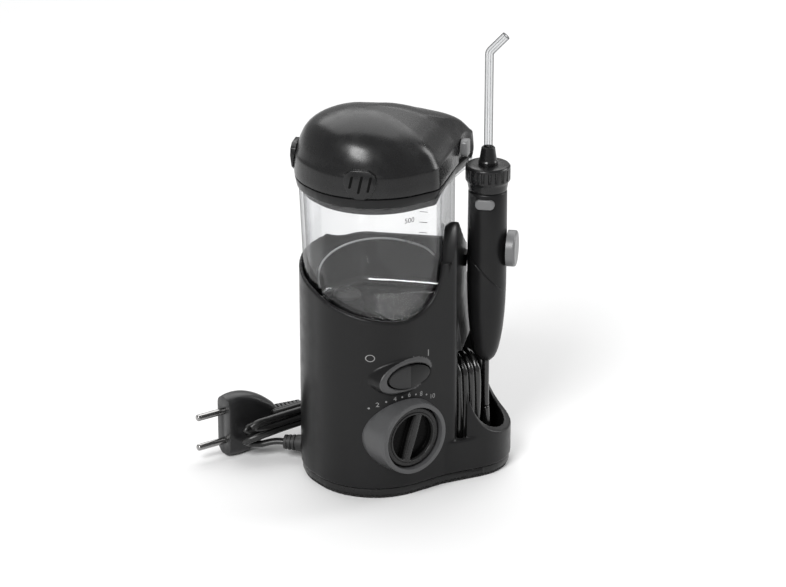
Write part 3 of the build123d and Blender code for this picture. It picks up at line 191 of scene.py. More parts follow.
def granular(name, col):
    """Cellular black foot rubber: raised cells with their tops painted lighter and painted shade darkening the grooves
    between them.
    """
    m = Mat(name)
    v = m.t.nodes.new("ShaderNodeTexVoronoi")
    v.inputs["Scale"].default_value = 620.0
    m.t.links.new(m.co.outputs["Object"], v.inputs["Vector"])
    n = m.noise(1500.0, 3.0, 0.6)
    # painted shade: the colour darkens towards the cell edges, where the bump sinks into grooves
    r = m.ramp(v.outputs["Distance"], [(0.1, tuple(c * 3.2 for c in col)), (0.5, tuple(c * 0.15 for c in col))])
    m.t.links.new(r.outputs["Color"], m.b.inputs["Base Color"])
    p = m.bump(v.outputs["Distance"], 1.0, -0.0022)
    m.bump(n.outputs["Fac"], 0.3, 0.0002, prev=p)
    m.t.links.new(m.rng(n.outputs["Fac"], 0.5, 0.75), m.b.inputs["Roughness"])
    return m.m


MATS = {
    "body_plastic": moulded("body_plastic", (0.0072, 0.0072, 0.0075), 0.34, grain=0.08, spread=0.07, spec=0.22),
    "shell_gloss": moulded("shell_gloss", (0.0065, 0.0065, 0.0068), 0.27, grain=0.03, spread=0.06, spec=0.36),
    "plate_black": moulded("plate_black", (0.006, 0.006, 0.0062), 0.3, grain=0.06, spec=0.35),
    "foot_rubber": granular("foot_rubber", (0.006, 0.006, 0.006)),
    "seal_rubber": moulded("seal_rubber", (0.012, 0.012, 0.012), 0.55, grain=0.2),
    "mid_grey": moulded("mid_grey", (0.125, 0.126, 0.128), 0.38, grain=0.12, spread=0.04),
    "bezel_grey": moulded("bezel_grey", (0.052, 0.0525, 0.054), 0.36, grain=0.10, spread=0.05),
    "knob_black": moulded("knob_black", (0.0045, 0.0045, 0.0047), 0.16, grain=0.02, coat=0.3, coat_rough=0.06, drift=0.03),
    "inner_plastic": moulded("inner_plastic", (0.55, 0.55, 0.53), 0.45, grain=0.1),
    "steel": metal("steel", (0.62, 0.62, 0.63), 0.3),
    "pin_metal": metal("pin_metal", (0.36, 0.355, 0.35), 0.2, brushed=(0.15, 1.0, 1.0)),
    "brass": metal("brass", (0.72, 0.52, 0.22), 0.28),
    # the tank and tip stops paint dark edge reflections, darkest at grazing
    "clear_tank": clear("clear_tank", [(0.0, (0.985, 0.986, 0.987)), (0.50, (0.95, 0.953, 0.957)), (0.72, (0.80, 0.805, 0.81)), (0.86, (0.50, 0.505, 0.51)), (1.0, (0.12, 0.122, 0.125))], 0.02),
    "clear_tip": clear("clear_tip", [(0.0, (0.95, 0.952, 0.955)), (0.25, (0.84, 0.845, 0.85)), (0.5, (0.50, 0.505, 0.51)), (0.75, (0.16, 0.165, 0.17)), (1.0, (0.02, 0.02, 0.022))], 0.05, cap=0.16),
    "clear_tube": moulded("clear_tube", (0.55, 0.55, 0.52), 0.3),
    "hose_black": moulded("hose_black", (0.007, 0.007, 0.007), 0.2, grain=0.03, coat=0.25, coat_rough=0.1),
    "cord_black": moulded("cord_black", (0.011, 0.011, 0.011), 0.34, grain=0.12),
    "plug_black": moulded("plug_black", (0.011, 0.011, 0.0115), 0.36, grain=0.12),
}
# the rocker's plastic in a lighter and a darker copy: painted light on its left facet, painted shade on its right
MATS["rocker_left_painted_light"] = moulded("rocker_left_painted_light", (0.018, 0.018, 0.0184), 0.36, grain=0.1, spec=0.32)
MATS["rocker_right_painted_shade"] = moulded("rocker_right_painted_shade", (0.0075, 0.0075, 0.0078), 0.38, grain=0.1, spec=0.22)
MATS["collar_grey"] = moulded("collar_grey", (0.045, 0.045, 0.046), 0.34, grain=0.08, spec=0.45)
# the floor edge's stops paint it greyer towards grazing as painted dark edge reflections
MATS["clear_edge"] = clear("clear_edge", [(0.0, (0.86, 0.86, 0.86)), (1.0, (0.42, 0.42, 0.42))], 0.12, ior=2.2, cap=0.4)
MATS["clear_bead"] = moulded("clear_bead", (0.52, 0.525, 0.53), 0.12, grain=0.02, coat=0.3)
MATS["print_grey"] = moulded("print_grey", (0.22, 0.22, 0.22), 0.5, grain=0.05)
MATS["print_dark"] = moulded("print_dark", (0.06, 0.06, 0.06), 0.5, grain=0.05)
MATS["dial_ring"] = moulded("dial_ring", (0.015, 0.015, 0.015), 0.28, grain=0.05, spec=0.3)
# near-black with almost no gloss: painted shade for recesses, used in the dial's pockets and the lid grips' slots
MATS["pocket_painted_shade"] = moulded("pocket_painted_shade", (0.0022, 0.0022, 0.0022), 0.3, grain=0.02, spec=0.06)

slot_of = {s["node"]: s["material_slot"] for s in record["subparts"]}


def smooth_by_angle(o, deg=32.0):
    me = o.data
    me.polygons.foreach_set("use_smooth", [True] * len(me.polygons))
    try:
        me.set_sharp_from_angle(angle=math.radians(deg))
    except Exception:
        pass


def fresh(me):
    while len(me.materials):
        me.materials.pop(index=0)


for name, o in nodes.items():
    fresh(o.data)
    o.data.materials.append(MATS[slot_of[name]])
    o.data.polygons.foreach_set("material_index", [0] * len(o.data.polygons))
    smooth_by_angle(o)


def soften(name, width, angle=38.0, segments=2, weld=0.00002):
    """Rounds the moulded edges of a CAD node with modifiers only."""
    o = nodes[name]
    w = o.modifiers.new("weld", "WELD")
    w.merge_threshold = weld
    m = o.modifiers.new("bevel", "BEVEL")
    m.width = width
    m.segments = segments
    m.limit_method = "ANGLE"
    m.angle_limit = math.radians(angle)
    m.use_clamp_overlap = True
    m.harden_normals = True
    m.miter_outer = "MITER_ARC"


# ---------------------------------------------------------------- mesh helpers
def mesh_object(name, verts, faces, mat, smooth=True, angle=None):
    me = bpy.data.meshes.new(name)
    me.from_pydata([tuple(v) for v in verts], [], [tuple(f) for f in faces])
    me.update()
    o = bpy.data.objects.new(name, me)
    bpy.context.scene.collection.objects.link(o)
    me.materials.append(MATS[mat] if isinstance(mat, str) else mat)
    if smooth:
        me.polygons.foreach_set("use_smooth", [True] * len(me.polygons))
        if angle:
            me.set_sharp_from_angle(angle=math.radians(angle))
    return o


def chaikin(pts, n=3):
    p = np.array(pts, float)
    for _ in range(n):
        q = 0.75 * p[:-1] + 0.25 * p[1:]
        r = 0.25 * p[:-1] + 0.75 * p[1:]
        mid = np.empty((2 * len(q), 3))
        mid[0::2], mid[1::2] = q, r
        p = np.vstack([p[:1], mid, p[-1:]])
    return p


def resample(p, step):
    d = np.r_[0, np.cumsum(np.linalg.norm(np.diff(p, axis=0), axis=1))]
    n = max(int(round(d[-1] / step)), 2)
    s = np.linspace(0, d[-1], n + 1)
    return np.stack([np.interp(s, d, p[:, k]) for k in range(3)], 1), d[-1]


def tube(name, pts, prof, mat, level=None, cap=True, angle=None):
    """Sweeps a closed profile (side, up) along points. level keeps the profile's up near that direction."""
    p = np.array(pts, float)
    t = np.gradient(p, axis=0)
    t /= np.linalg.norm(t, axis=1)[:, None]
    n, m = len(p), len(prof)
    prof = np.array(prof, float)
    verts = np.empty((n * m, 3))
    up = np.array(level if level is not None else (0, 0, 1), float)
    if abs(t[0] @ up) > 0.9:
        up = np.array((1.0, 0, 0))
    for i in range(n):
        if level is not None and i > 0:
            g = np.array(level, float) * 0.06 + up
        else:
            g = up
        g = g - t[i] * (g @ t[i])
        g /= np.linalg.norm(g)
        side = np.cross(t[i], g)
        verts[i * m:(i + 1) * m] = p[i] + prof[:, :1] * side + prof[:, 1:] * g
        up = g
    faces = []
    for i in range(n - 1):
        for j in range(m):
            a, b = i * m + j, i * m + (j + 1) % m
            faces.append((a, b, b + m, a + m))
    if cap:
        faces.append(tuple(range(m))[::-1])
        faces.append(tuple(range((n - 1) * m, n * m)))
    return mesh_object(name, verts, faces, mat, angle=angle)


def circle(r, n=20):
    return [(r * math.cos(2 * math.pi * k / n), r * math.sin(2 * math.pi * k / n)) for k in range(n)]


def flat_profile(w, h, n=7):
    """Flat twin cord: two rounded edges with a shallow groove down the middle of each face."""
    pts = []
    r = h / 2
    for k in range(n + 1):
        a = -math.pi / 2 + math.pi * k / n
        pts.append((w / 2 - r + r * math.cos(a), r * math.sin(a)))
    pts.append((0.25 * r, r * 0.93))
    pts.append((0.0, r * 0.74))
    pts.append((-0.25 * r, r * 0.93))
    for k in range(n + 1):
        a = math.pi / 2 + math.pi * k / n
        pts.append((-w / 2 + r + r * math.cos(a), r * math.sin(a)))
    pts.append((-0.25 * r, -r * 0.93))
    pts.append((0.0, -r * 0.74))
    pts.append((0.25 * r, -r * 0.93))
    return pts


# ---------------------------------------------------------------- lid dome
def rounded(points, radii, per=14, line=10):
    """Closed outline with tangent arcs, the same number of points whatever the radii."""
    pts = [np.array(q, float) for q in points]
    n = len(pts)
    arcs = []
    cuts, lens = [], []
    for i in range(n):
        a, b, c = pts[i - 1], pts[i], pts[(i + 1) % n]
        u, v = (a - b) / np.linalg.norm(a - b), (c - b) / np.linalg.norm(c - b)
        cuts.append(radii[i] / math.tan(math.acos(max(-1, min(1, u @ v))) / 2))
        lens.append(np.linalg.norm(c - b))
    for _ in range(4):
        for i in range(n):
            total = cuts[i] + cuts[(i + 1) % n]
            if total > 0.985 * lens[i]:
                k = 0.985 * lens[i] / total
                cuts[i] *= k
                cuts[(i + 1) % n] *= k
    for i in range(n):
        a, b, c = pts[i - 1], pts[i], pts[(i + 1) % n]
        u, v = a - b, c - b
        lu, lv = np.linalg.norm(u), np.linalg.norm(v)
        u, v = u / lu, v / lv
        half = math.acos(max(-1, min(1, u @ v))) / 2
        cut = cuts[i]
        r = cut * math.tan(half)
        bis = u + v
        bis /= np.linalg.norm(bis)
        cen = b + bis * (r / math.sin(half))
        p0, p1 = b + u * cut, b + v * cut
        a0 = math.atan2(*(p0 - cen)[::-1])
        a1 = math.atan2(*(p1 - cen)[::-1])
        d = (a1 - a0 + math.pi) % (2 * math.pi) - math.pi
        arcs.append([cen + r * np.array((math.cos(a0 + d * k / per), math.sin(a0 + d * k / per))) for k in range(per + 1)])
    out = []
    for i in range(n):
        out += arcs[i]
        p, q = arcs[i][-1], arcs[(i + 1) % n][0]
        out += [p + (q - p) * k / line for k in range(1, line)]
    return np.array(out)


def lid_outline(d, k, cx):
    pts = [(-43.8 + d, -45 + d), (13.5 - 0.3 * d, -45 + d), (46 - 0.7 * d, -17.8 + 0.6 * d), (73.6 - 1.5 * d, 0),
           (46 - 0.7 * d, 17.8 - 0.6 * d), (13.5 - 0.3 * d, 45 - d), (-43.8 + d, 45 - d)]
    q = 1 - k
    rad = [(43.5 - d) * k, (12 + 40 * q) * k, (30 + 30 * q) * k, (5 + 42 * q) * k, (30 + 30 * q) * k, (12 + 40 * q) * k, (43.5 - d) * k]
    return rounded([((x - cx) * k + cx, y * k) for x, y in pts], [max(v, 0.4) for v in rad])


def pchip(x, y, t):
    x, y = np.array(x, float), np.array(y, float)
    h = np.diff(x)
    s = np.diff(y) / h
    m = np.zeros(len(x))
    for i in range(1, len(x) - 1):
        if s[i - 1] * s[i] > 0:
            w1, w2 = 2 * h[i] + h[i - 1], h[i] + 2 * h[i - 1]
            m[i] = (w1 + w2) / (w1 / s[i - 1] + w2 / s[i])
    m[0], m[-1] = s[0], s[-1]
    out = []
    for v in t:
        i = min(max(np.searchsorted(x, v) - 1, 0), len(h) - 1)
        u = (v - x[i]) / h[i]
        out.append((2 * u**3 - 3 * u**2 + 1) * y[i] + (u**3 - 2 * u**2 + u) * h[i] * m[i] + (3 * u**2 - 2 * u**3) * y[i + 1] + (u**3 - u**2) * h[i] * m[i + 1])
    return np.array(out)


def dome_mesh():
    # stations: height, inset, scale, centre; the bevel line sits at 195-197
    st = [(183.45, 0.75, 1.0, 0.0), (184.0, 0.15, 1.0, 0.0), (186.0, 0.05, 1.0, 0.0), (191.0, 0.3, 1.0, 0.0), (195.6, 0.6, 0.999, -2.0),
          (197.2, 0.75, 0.985, -8.0), (200.5, 0.8, 0.958, -12.0), (204.0, 0.8, 0.925, -14.0), (208.2, 0.8, 0.862, -17.0), (212.0, 0.8, 0.775, -19.0), (215.4, 0.8, 0.675, -17.5),
          (218.4, 0.8, 0.555, -15.0), (220.9, 0.8, 0.42, -12.0), (222.6, 0.8, 0.285, -10.0), (223.6, 0.8, 0.16, -9.0), (223.95, 0.8, 0.05, -8.5)]
    st = np.array(st)
    u = np.r_[0, np.cumsum(np.hypot(np.diff(st[:, 0]), 45 * np.diff(st[:, 2])))]
    t = np.linspace(0, u[-1], 96)
    cols = [pchip(u, st[:, k], t) for k in range(4)]
    rings = []
    for z, d, k, cx in zip(*cols):
        o = lid_outline(d, k, cx)
        rings.append(np.c_[o, np.full(len(o), z)])
    n = len(rings[0])
    v = np.vstack(rings + [np.array([[-8.5, 0, 224.0]])])
    # side hollows of the beak: anything inside the cutting cylinder moves out to its wall
    for q in (-1, 1):
        c0 = np.array((65.4, 21.6 * q, 196.0))
        ax = np.array((0.20, 0.20 * q, 1.0))
        ax /= np.linalg.norm(ax)
        rel = v - c0
        along = rel @ ax
        rad = rel - along[:, None] * ax
        r = np.linalg.norm(rad, axis=1)
        inside = (r < 15.5) & (v[:, 2] > 183.4)
        v[inside] += (rad[inside] / r[inside, None]) * (15.5 - r[inside])[:, None]
    f = []
    for i in range(len(rings) - 1):
        for j in range(n):
            a, b = i * n + j, i * n + (j + 1) % n
            f.append((a, b, b + n, a + n))
    top = len(v) - 1
    base = (len(rings) - 1) * n
    for j in range(n):
        f.append((base + j, base + (j + 1) % n, top))
    # underside: a return wall so that the shell has thickness when opened
    k0 = len(v)
    inner = []
    for (z, d, k, cx) in [(183.45, 2.9, 1.0, 0.0), (194.5, 3.1, 1.0, 0.0), (202.5, 3.5, 0.92, -14.0), (209.8, 3.5, 0.77, -18.0), (216.0, 3.5, 0.54, -14.0), (220.0, 3.5, 0.28, -10.0)]:
        o = lid_outline(d, k, cx)
        inner.append(np.c_[o, np.full(len(o), z)])
    v = np.vstack([v] + inner + [np.array([[-10.0, 0, 220.6]])])
    f += [(j, k0 + j, k0 + (j + 1) % n, (j + 1) % n) for j in range(n)]
    for i in range(len(inner) - 1):
        for j in range(n):
            a, b = k0 + i * n + j, k0 + i * n + (j + 1) % n
            f.append((a, a + n, b + n, b))
    base = k0 + (len(inner) - 1) * n
    for j in range(n):
        f.append((base + j, len(v) - 1, base + (j + 1) % n))
    return v * MM, f


dv, df = dome_mesh()
dome = mesh_object("lid_dome_skin", dv, df, "shell_gloss", angle=28)
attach(dome, "lid")
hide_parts("lid_dome")

# ---------------------------------------------------------------- housing skin
def remeshed(node, name, voxel, passes):
    """The moulding with its edges rounded and its facets evened out."""
    o = bpy.data.objects.new(name, nodes[node].data.copy())
    bpy.context.scene.collection.objects.link(o)
    m = o.modifiers.new("remesh", "REMESH")
    m.mode = "VOXEL"
    m.voxel_size = voxel
    m.use_smooth_shade = True
    q = o.modifiers.new("smooth", "SMOOTH")
    q.factor = 0.5
    q.iterations = passes
    bpy.context.view_layer.update()
    me = bpy.data.meshes.new_from_object(o.evaluated_get(bpy.context.evaluated_depsgraph_get()))
    o.modifiers.clear()
    o.data = me
    fresh(me)
    return o


housing = remeshed("base_housing", "housing_skin", 0.00075, 5)
hm = housing.data
hm.materials.append(MATS["body_plastic"])
hm.materials.append(MATS["collar_grey"])
nv = len(hm.vertices)
co = np.empty(nv * 3)
hm.vertices.foreach_get("co", co)
co = co.reshape(-1, 3) / MM
along = ((co[:, 0] - 27.6) + (co[:, 1] + 43)) * S
outw = ((co[:, 0] - 27.6) - (co[:, 1] + 43)) * S
# rounded top of the horn
lim = 159.0 - 0.20 * np.clip(8.0 - along, 0, None) ** 2
lim -= 0.22 * np.clip(outw + 1.6, 0, None) ** 2 + 0.10 * np.clip(-1.6 - outw, 0, 6) ** 2
horn = (co[:, 2] > 138) & (outw > -9) & (along < 40) & (co[:, 2] > lim)
co[horn, 2] = lim[horn]
hm.vertices.foreach_set("co", (co * MM).ravel())
hm.update()
cen = np.empty(len(hm.polygons) * 3)
hm.polygons.foreach_get("center", cen)
cen = cen.reshape(-1, 3) / MM
ring = (cen[:, 1] < -43.12) & (cen[:, 2] > 64) & (cen[:, 2] < 87) & (cen[:, 0] < 12)
ring |= (cen[:, 0] < -4) & (cen[:, 2] > 66) & (cen[:, 2] < 86) & (cen[:, 1] < -42.6 + 0.012 * (cen[:, 0] + 4) ** 2 * 0) & (cen[:, 1] < -43.05)
hm.polygons.foreach_set("material_index", ring.astype(np.int32))
hm.polygons.foreach_set("use_smooth", np.ones(len(hm.polygons), bool))
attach(housing, "base")
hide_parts("base_housing")

# ---------------------------------------------------------------- dial
DX, DZ, BAR = -6.0, 39.0, math.radians(18)


def dial_height(rr, th):
    x, z = rr * math.cos(th), rr * math.sin(th)
    across = abs(x * math.cos(BAR) - z * math.sin(BAR))
    step = lambda e0, e1, v: (lambda t: t * t * (3 - 2 * t))(min(max((v - e0) / (e1 - e0), 0), 1))
    h = 4.7
    h += 0.55 * step(15.4, 14.9, rr) * step(13.4, 14.2, rr)
    pocket = step(14.0, 13.3, rr) * step(2.0 + 0.05 * (14 - rr), 3.0 + 0.05 * (14 - rr), across)
    h = h * (1 - pocket) + 1.3 * pocket
    if rr < 14 and across < 2.6:
        h = max(h, 1.3 + (4.4 - 0.12 * across**2) * step(3.1, 1.7, across))
    h -= 0.9 * step(17.0, 18.0, rr) ** 2
    return h


rs = [0.0] + list(np.linspace(0.25, 12.8, 84)) + list(np.linspace(12.9, 15.6, 28)) + list(np.linspace(15.9, 17.9, 9)) + [18.0]
nt = 480
vs = [(DX, -43.0 - dial_height(0, 0), DZ)]
for rr in rs[1:]:
    for k in range(nt):
        th = 2 * math.pi * k / nt
        vs.append((DX + rr * math.cos(th), -43.0 - dial_height(rr, th), DZ + rr * math.sin(th)))
for yy in (-43.6,):
    for k in range(nt):
        th = 2 * math.pi * k / nt
        vs.append((DX + 18.0 * math.cos(th), yy, DZ + 18.0 * math.sin(th)))
fs = [(0, 1 + k, 1 + (k + 1) % nt) for k in range(nt)]
for i in range(len(rs) - 1):
    for k in range(nt):
        a, b = 1 + i * nt + k, 1 + i * nt + (k + 1) % nt
        fs.append((a, a + nt, b + nt, b))
dial = mesh_object("dial_skin", np.array(vs) * MM, fs, "dial_ring")
dial.data.materials.append(MATS["pocket_painted_shade"])
# faces sunk below the pocket rim take the painted-shade material: painted shade in the dial's pockets
for p in dial.data.polygons:
    if p.center.y > -0.0462 and (p.center.x * 1000 - DX) ** 2 + (p.center.z * 1000 - DZ) ** 2 < 14.2**2:
        p.material_index = 1
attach(dial, "dial")
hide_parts("pressure_dial", "dial_shaft")

# ---------------------------------------------------------------- rocker with painted light on its left facet and painted shade on its right facet
rk = nodes["power_rocker"].data
rk.materials.clear()
rk.materials.append(MATS["rocker_left_painted_light"])
rk.materials.append(MATS["rocker_right_painted_shade"])
# the left facet takes the lighter copy as painted light, the right facet the darker copy as painted shade
for p in rk.polygons:
    p.material_index = 1 if p.center.x > -0.0056 else 0

# ---------------------------------------------------------------- handle shells
HX, HY = 57.2, -31.6
prof = [(66.25, 0.0), (66.25, 2.6), (66.5, 3.1), (68.5, 5.0), (73.0, 7.0), (80.0, 8.6), (90.0, 10.0), (102.0, 10.9), (118.0, 11.3), (145.0, 11.3), (170.4, 11.1), (170.9, 10.9), (171.15, 10.5), (171.15, 4.7)]
zs = [p[0] for p in prof[3:10]]
fine_z = np.arange(69.5, 145.0, 1.5)
rad = pchip([66.5] + zs[0:], [3.1] + [p[1] for p in prof[3:10]], fine_z)
full = prof[:4] + list(zip(fine_z, rad)) + [p for p in prof[9:]]
na = 96
hv = [(HX + q * math.cos(2 * math.pi * k / na), HY + q * math.sin(2 * math.pi * k / na), z) for z, q in full for k in range(na)]
hf = [(i * na + k, i * na + (k + 1) % na, (i + 1) * na + (k + 1) % na, (i + 1) * na + k) for i in range(len(full) - 1) for k in range(na)]
handle = mesh_object("handle_skin", np.array(hv) * MM, hf, "body_plastic", angle=50)
bm = bmesh.new()
bm.from_mesh(handle.data)
pn = Vector((0.579, -0.406, 0.707)).normalized()
for off in (-0.32, 0.0, 0.32):
    pc = Vector((HX, HY, 121.5)) * MM + pn * off * MM
    bmesh.ops.bisect_plane(bm, geom=bm.verts[:] + bm.edges[:] + bm.faces[:], dist=1e-7, plane_co=pc, plane_no=pn)
for v in bm.verts:
    d = (v.co - Vector((HX, HY, 121.5)) * MM).dot(pn)
    if abs(d) < 0.0001:
        c = Vector((HX * MM, HY * MM, v.co.z))
        v.co = c + (v.co - c) * (1 - 0.05)
bmesh.ops.remove_doubles(bm, verts=bm.verts[:], dist=1e-7)
bm.to_mesh(handle.data)
bm.free()
handle.data.polygons.foreach_set("use_smooth", [True] * len(handle.data.polygons))
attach(handle, "handle")
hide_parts("handle_body", "handle_cover")

# ---------------------------------------------------------------- rolled edge round the tank floor
tank_bvh = BVHTree.FromPolygons([v.co.copy() for v in nodes["reservoir"].data.vertices], [tuple(p.vertices) for p in nodes["reservoir"].data.polygons])
loop = []
for k in range(240):
    th = 2 * math.pi * k / 240
    hit = tank_bvh.ray_cast(Vector((0.0, 0.0, 0.1045)), Vector((math.cos(th), math.sin(th), 0.0)))
    if hit[0] is not None:
        loop.append((hit[0].x / MM, hit[0].y / MM, 101.2))
loop = np.array(loop)
loop, _ = resample(np.vstack([loop, loop[:1]]), 1.2)
loop = loop[:-1]
for _ in range(3):
    loop = 0.5 * loop + 0.25 * np.roll(loop, 1, axis=0) + 0.25 * np.roll(loop, -1, axis=0)
nl = len(loop)
cent = loop.mean(axis=0)
inw = cent - loop
inw[:, 2] = 0
inw /= np.linalg.norm(inw, axis=1)[:, None]
rv = []
for k in range(9):
    a = math.pi / 2 * k / 8
    rv.append(loop + inw * (0.15 + 4.2 * (1 - math.cos(a))) + np.array((0, 0, 0.05 + 4.2 * (1 - math.sin(a)))))
rv = np.vstack(rv)
rf = [(i * nl + k, i * nl + (k + 1) % nl, (i + 1) * nl + (k + 1) % nl, (i + 1) * nl + k) for i in range(8) for k in range(nl)]
fillet = mesh_object("tank_floor_edge", rv * MM, rf, "clear_edge")
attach(fillet, "tank")

# moulded bead round the back of the tank, above its stepped foot
eye = Vector((-0.905, -1.312, 0.754))
turn = Matrix.Rotation(math.radians(-35.0), 3, "Z") @ Matrix.Rotation(math.radians(68.0), 3, "X")
bead = []
for px, py in chaikin(np.array([(319.5, 288, 0), (317.5, 274, 0), (322, 260, 0), (338, 247, 0), (360, 239.5, 0), (384, 237.5, 0), (408, 241, 0), (428, 248, 0), (434, 255, 0)], float), 3)[:, :2]:
    ray = (turn @ Vector(((px - 393.0) / 3000.0, -(py - 293.5) / 3000.0, -1.0))).normalized()
    at, hits = eye.copy(), []
    for _ in range(6):
        h = tank_bvh.ray_cast(at, ray)
        if h[0] is None:
            break
        hits.append(h[0].copy())
        at = h[0] + ray * 1e-5
    if len(hits) >= 3:
        bead.append(np.array(hits[2] - ray * 0.0009))
if len(bead) > 20:
    bead, _ = resample(np.array(bead), 0.0012)
    for _ in range(8):
        bead[1:-1] = 0.5 * bead[1:-1] + 0.25 * bead[:-2] + 0.25 * bead[2:]
    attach(tube("tank_bead", bead, circle(0.62 * MM, 12), "clear_bead"), "tank")

# ---------------------------------------------------------------- finger slots in the lid grips, drawn as flat near-black patches on the grip surface: painted shade of the slot recesses
for q in (-1, 1):
    ga = math.radians(134.0) * q
    nrm = np.array((math.cos(ga), math.sin(ga), 0.0))
    tan = np.array((-math.sin(ga), math.cos(ga), 0.0)) * -q
    gv = np.array([tuple(v.co) for v in nodes["lid_grips"].data.vertices]) / MM
    gv = gv[gv[:, 1] * q > 0]
    depth = (gv @ nrm).max()
    mid = (gv @ tan)
    mid = (mid.max() + mid.min()) / 2
    pv, pf = [], []
    for k, (t0, hh, zc) in enumerate(((-5.0, 3.6, 193.6), (0.2, 5.2, 192.4), (5.4, 4.6, 192.8))):
        base = len(pv)
        nn = 20
        for j in range(nn):
            a = 2 * math.pi * j / nn
            px = 0.75 * math.cos(a)
            pz = 0.75 * math.sin(a) + (hh - 0.75) * (1 if math.sin(a) > 0 else -1)
            tt = t0 + px + pz * 0.22
            pv.append(nrm * (depth + 0.05) + tan * (mid + tt) + np.array((0, 0, zc + pz)))
        pf.append(tuple(range(base, base + nn)))
    # flat patches in the painted-shade material stand for the slot recesses: painted shade
    slot_shade_patches = mesh_object("grip_slot_shade_patch_%d" % (q > 0), np.array(pv) * MM, pf, "pocket_painted_shade", smooth=False)
    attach(slot_shade_patches, "lid")

# ---------------------------------------------------------------- cradle, open at the front left
cradle = bpy.data.objects.new("cradle_skin", nodes["handle_cradle"].data.copy())
bpy.context.scene.collection.objects.link(cradle)
bm = bmesh.new()
bm.from_mesh(cradle.data)
cut_n = Vector((-0.574, -0.819, 0.0))
cut = bmesh.ops.bisect_plane(bm, geom=bm.verts[:] + bm.edges[:] + bm.faces[:], dist=1e-7, plane_co=Vector((HX * MM, HY * MM, 0.13)) + cut_n * 0.0005, plane_no=cut_n, clear_outer=True)
bmesh.ops.holes_fill(bm, edges=[e for e in bm.edges if e.is_boundary], sides=0)
bm.to_mesh(cradle.data)
bm.free()
fresh(cradle.data)
cradle.data.materials.append(MATS["body_plastic"])
cradle.data.polygons.foreach_set("material_index", [0] * len(cradle.data.polygons))
smooth_by_angle(cradle)
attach(cradle, "base")
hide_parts("handle_cradle")

# ---------------------------------------------------------------- softened edges of moulded nodes
for name, w in {"tip_tray": 0.0004,
                "dial_bezel": 0.0006, "power_rocker": 0.0006, "lid_grips": 0.0008, "lid_side_lugs": 0.0006, "handle_cradle": 0.0005,
                "rotator_collar": 0.0003, "plug_body": 0.0003, "base_plate": 0.0004, "reservoir": 0.0005, "foot_pad": 0.0004}.items():
    soften(name, w)

# ---------------------------------------------------------------- hose
CY, CZ, R0 = -23.6, 41.6, 13.0
turns, per, pitch = 4.25, 18, 4.3
pts = [(30.4, -12.0, 20.0), (32.0, -11.8, 20.2)]
N = int(turns * per)
for i in range(1, N + 1):
    a = 2 * math.pi * i / per          # down the back, forward along the bottom, up the front, over the top
    y, z = math.cos(a), -math.sin(a)
    zz = CZ + R0 * z + (16.5 if z > 1e-6 else (-16.5 if z < -1e-6 else 0))
    yy = CY + (R0 + 0.3 * math.sin(1.7 * i)) * y
    xx = 32.7 + pitch * i / per + 0.12 * math.sin(2.3 * i)
    pts.append((xx, yy, zz))
pts += [(52.6, -27.5, 11.5), (55.2, -32.4, 14.5), (57.0, -33.8, 22.0), (57.2, -33.0, 30.0), (57.2, -32.0, 37.0)]
line = chaikin(pts, 3)
line, coil_len = resample(line, 1.6)
coil = tube("hose_loops", line * MM, circle(2.1 * MM, 16), "hose_black")
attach(coil, "base")
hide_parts("hose_coil")
drop_pts = [tuple(line[-1]), (57.2, -31.7, 43.0), (57.2, -31.6, 50.0), (57.2, -31.6, 58.0), (57.2, -31.6, 67.2)]
dline, drop_len = resample(chaikin(drop_pts, 3), 1.2)
drop = tube("hose_drop", dline * MM, circle(2.1 * MM, 18), "hose_black")
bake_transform(drop)
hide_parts("water_hose")

# ---------------------------------------------------------------- mains cord in its hank
W, H = 4.9, 3.4
hx, hy = math.cos(math.radians(3.652)), math.sin(math.radians(3.652))


def hank(u, v, z):
    """Along the hank, across it, and height, to the frame."""
    return (-6 + u * hx - v * hy, 50.9 + u * hy + v * hx, z)


G = np.array((-0.67, 0.742, 0.0))
G0 = np.array((-27.2, 31.8, 10.6))
GE = G0 + 12.4 * G
route = [tuple(GE), tuple(GE + 5 * G), tuple(GE + 9 * G + np.array((-1, 0, -1.0))), (-46.5, 50.0, 8.3), (-53.5, 53.5, 9.6), (-58.0, 50.5, 12.6)]
layers = [(16.6, -3.3, 3.3), (20.9, 3.3, -3.3), (25.2, -3.3, 3.3)]
strands = []
for k, (z, v0, v1) in enumerate(layers):
    j = rng.uniform(-0.35, 0.35, 16)
    e = 44.5 - 1.4 * k
    strands += [hank(-e + 3, v0 + j[0], z), hank(-22, v0 + j[1], z + j[2]), hank(6, v0 + j[3], z - 0.2), hank(30, v0 + j[4], z + j[5] * 0.6), hank(e - 2, v0, z),
                hank(e + 3.6, v0 * 0.9, z + 0.3), hank(e + 5.4, 0, z + 0.9), hank(e + 3.6, v1 * 0.9, z + 1.2), hank(e - 3, v1, z + 0.4), hank(24, v1 + j[6], z + j[7] * 0.6),
                hank(0, v1 + j[8], z), hank(-26, v1 + j[9], z + j[10])]
    if k < 2:
        nv, nz = layers[k + 1][1], layers[k + 1][0]
        strands += [hank(-e, v1, z + 0.4), hank(-e - 5.0, v1 * 0.8, z + 1.6), hank(-e - 6.4, v1 * 0.25 + nv * 0.75 - 0.0, (z + nz) / 2 + 0.6), hank(-e - 4.0, nv, nz)]
# leave over the top, round the far end and forward to the plug
strands += [hank(-30, 5.6, 24.2), hank(-10, 8.4, 22.2)]
lead = []
route += strands
route_len_line = chaikin(route, 3)
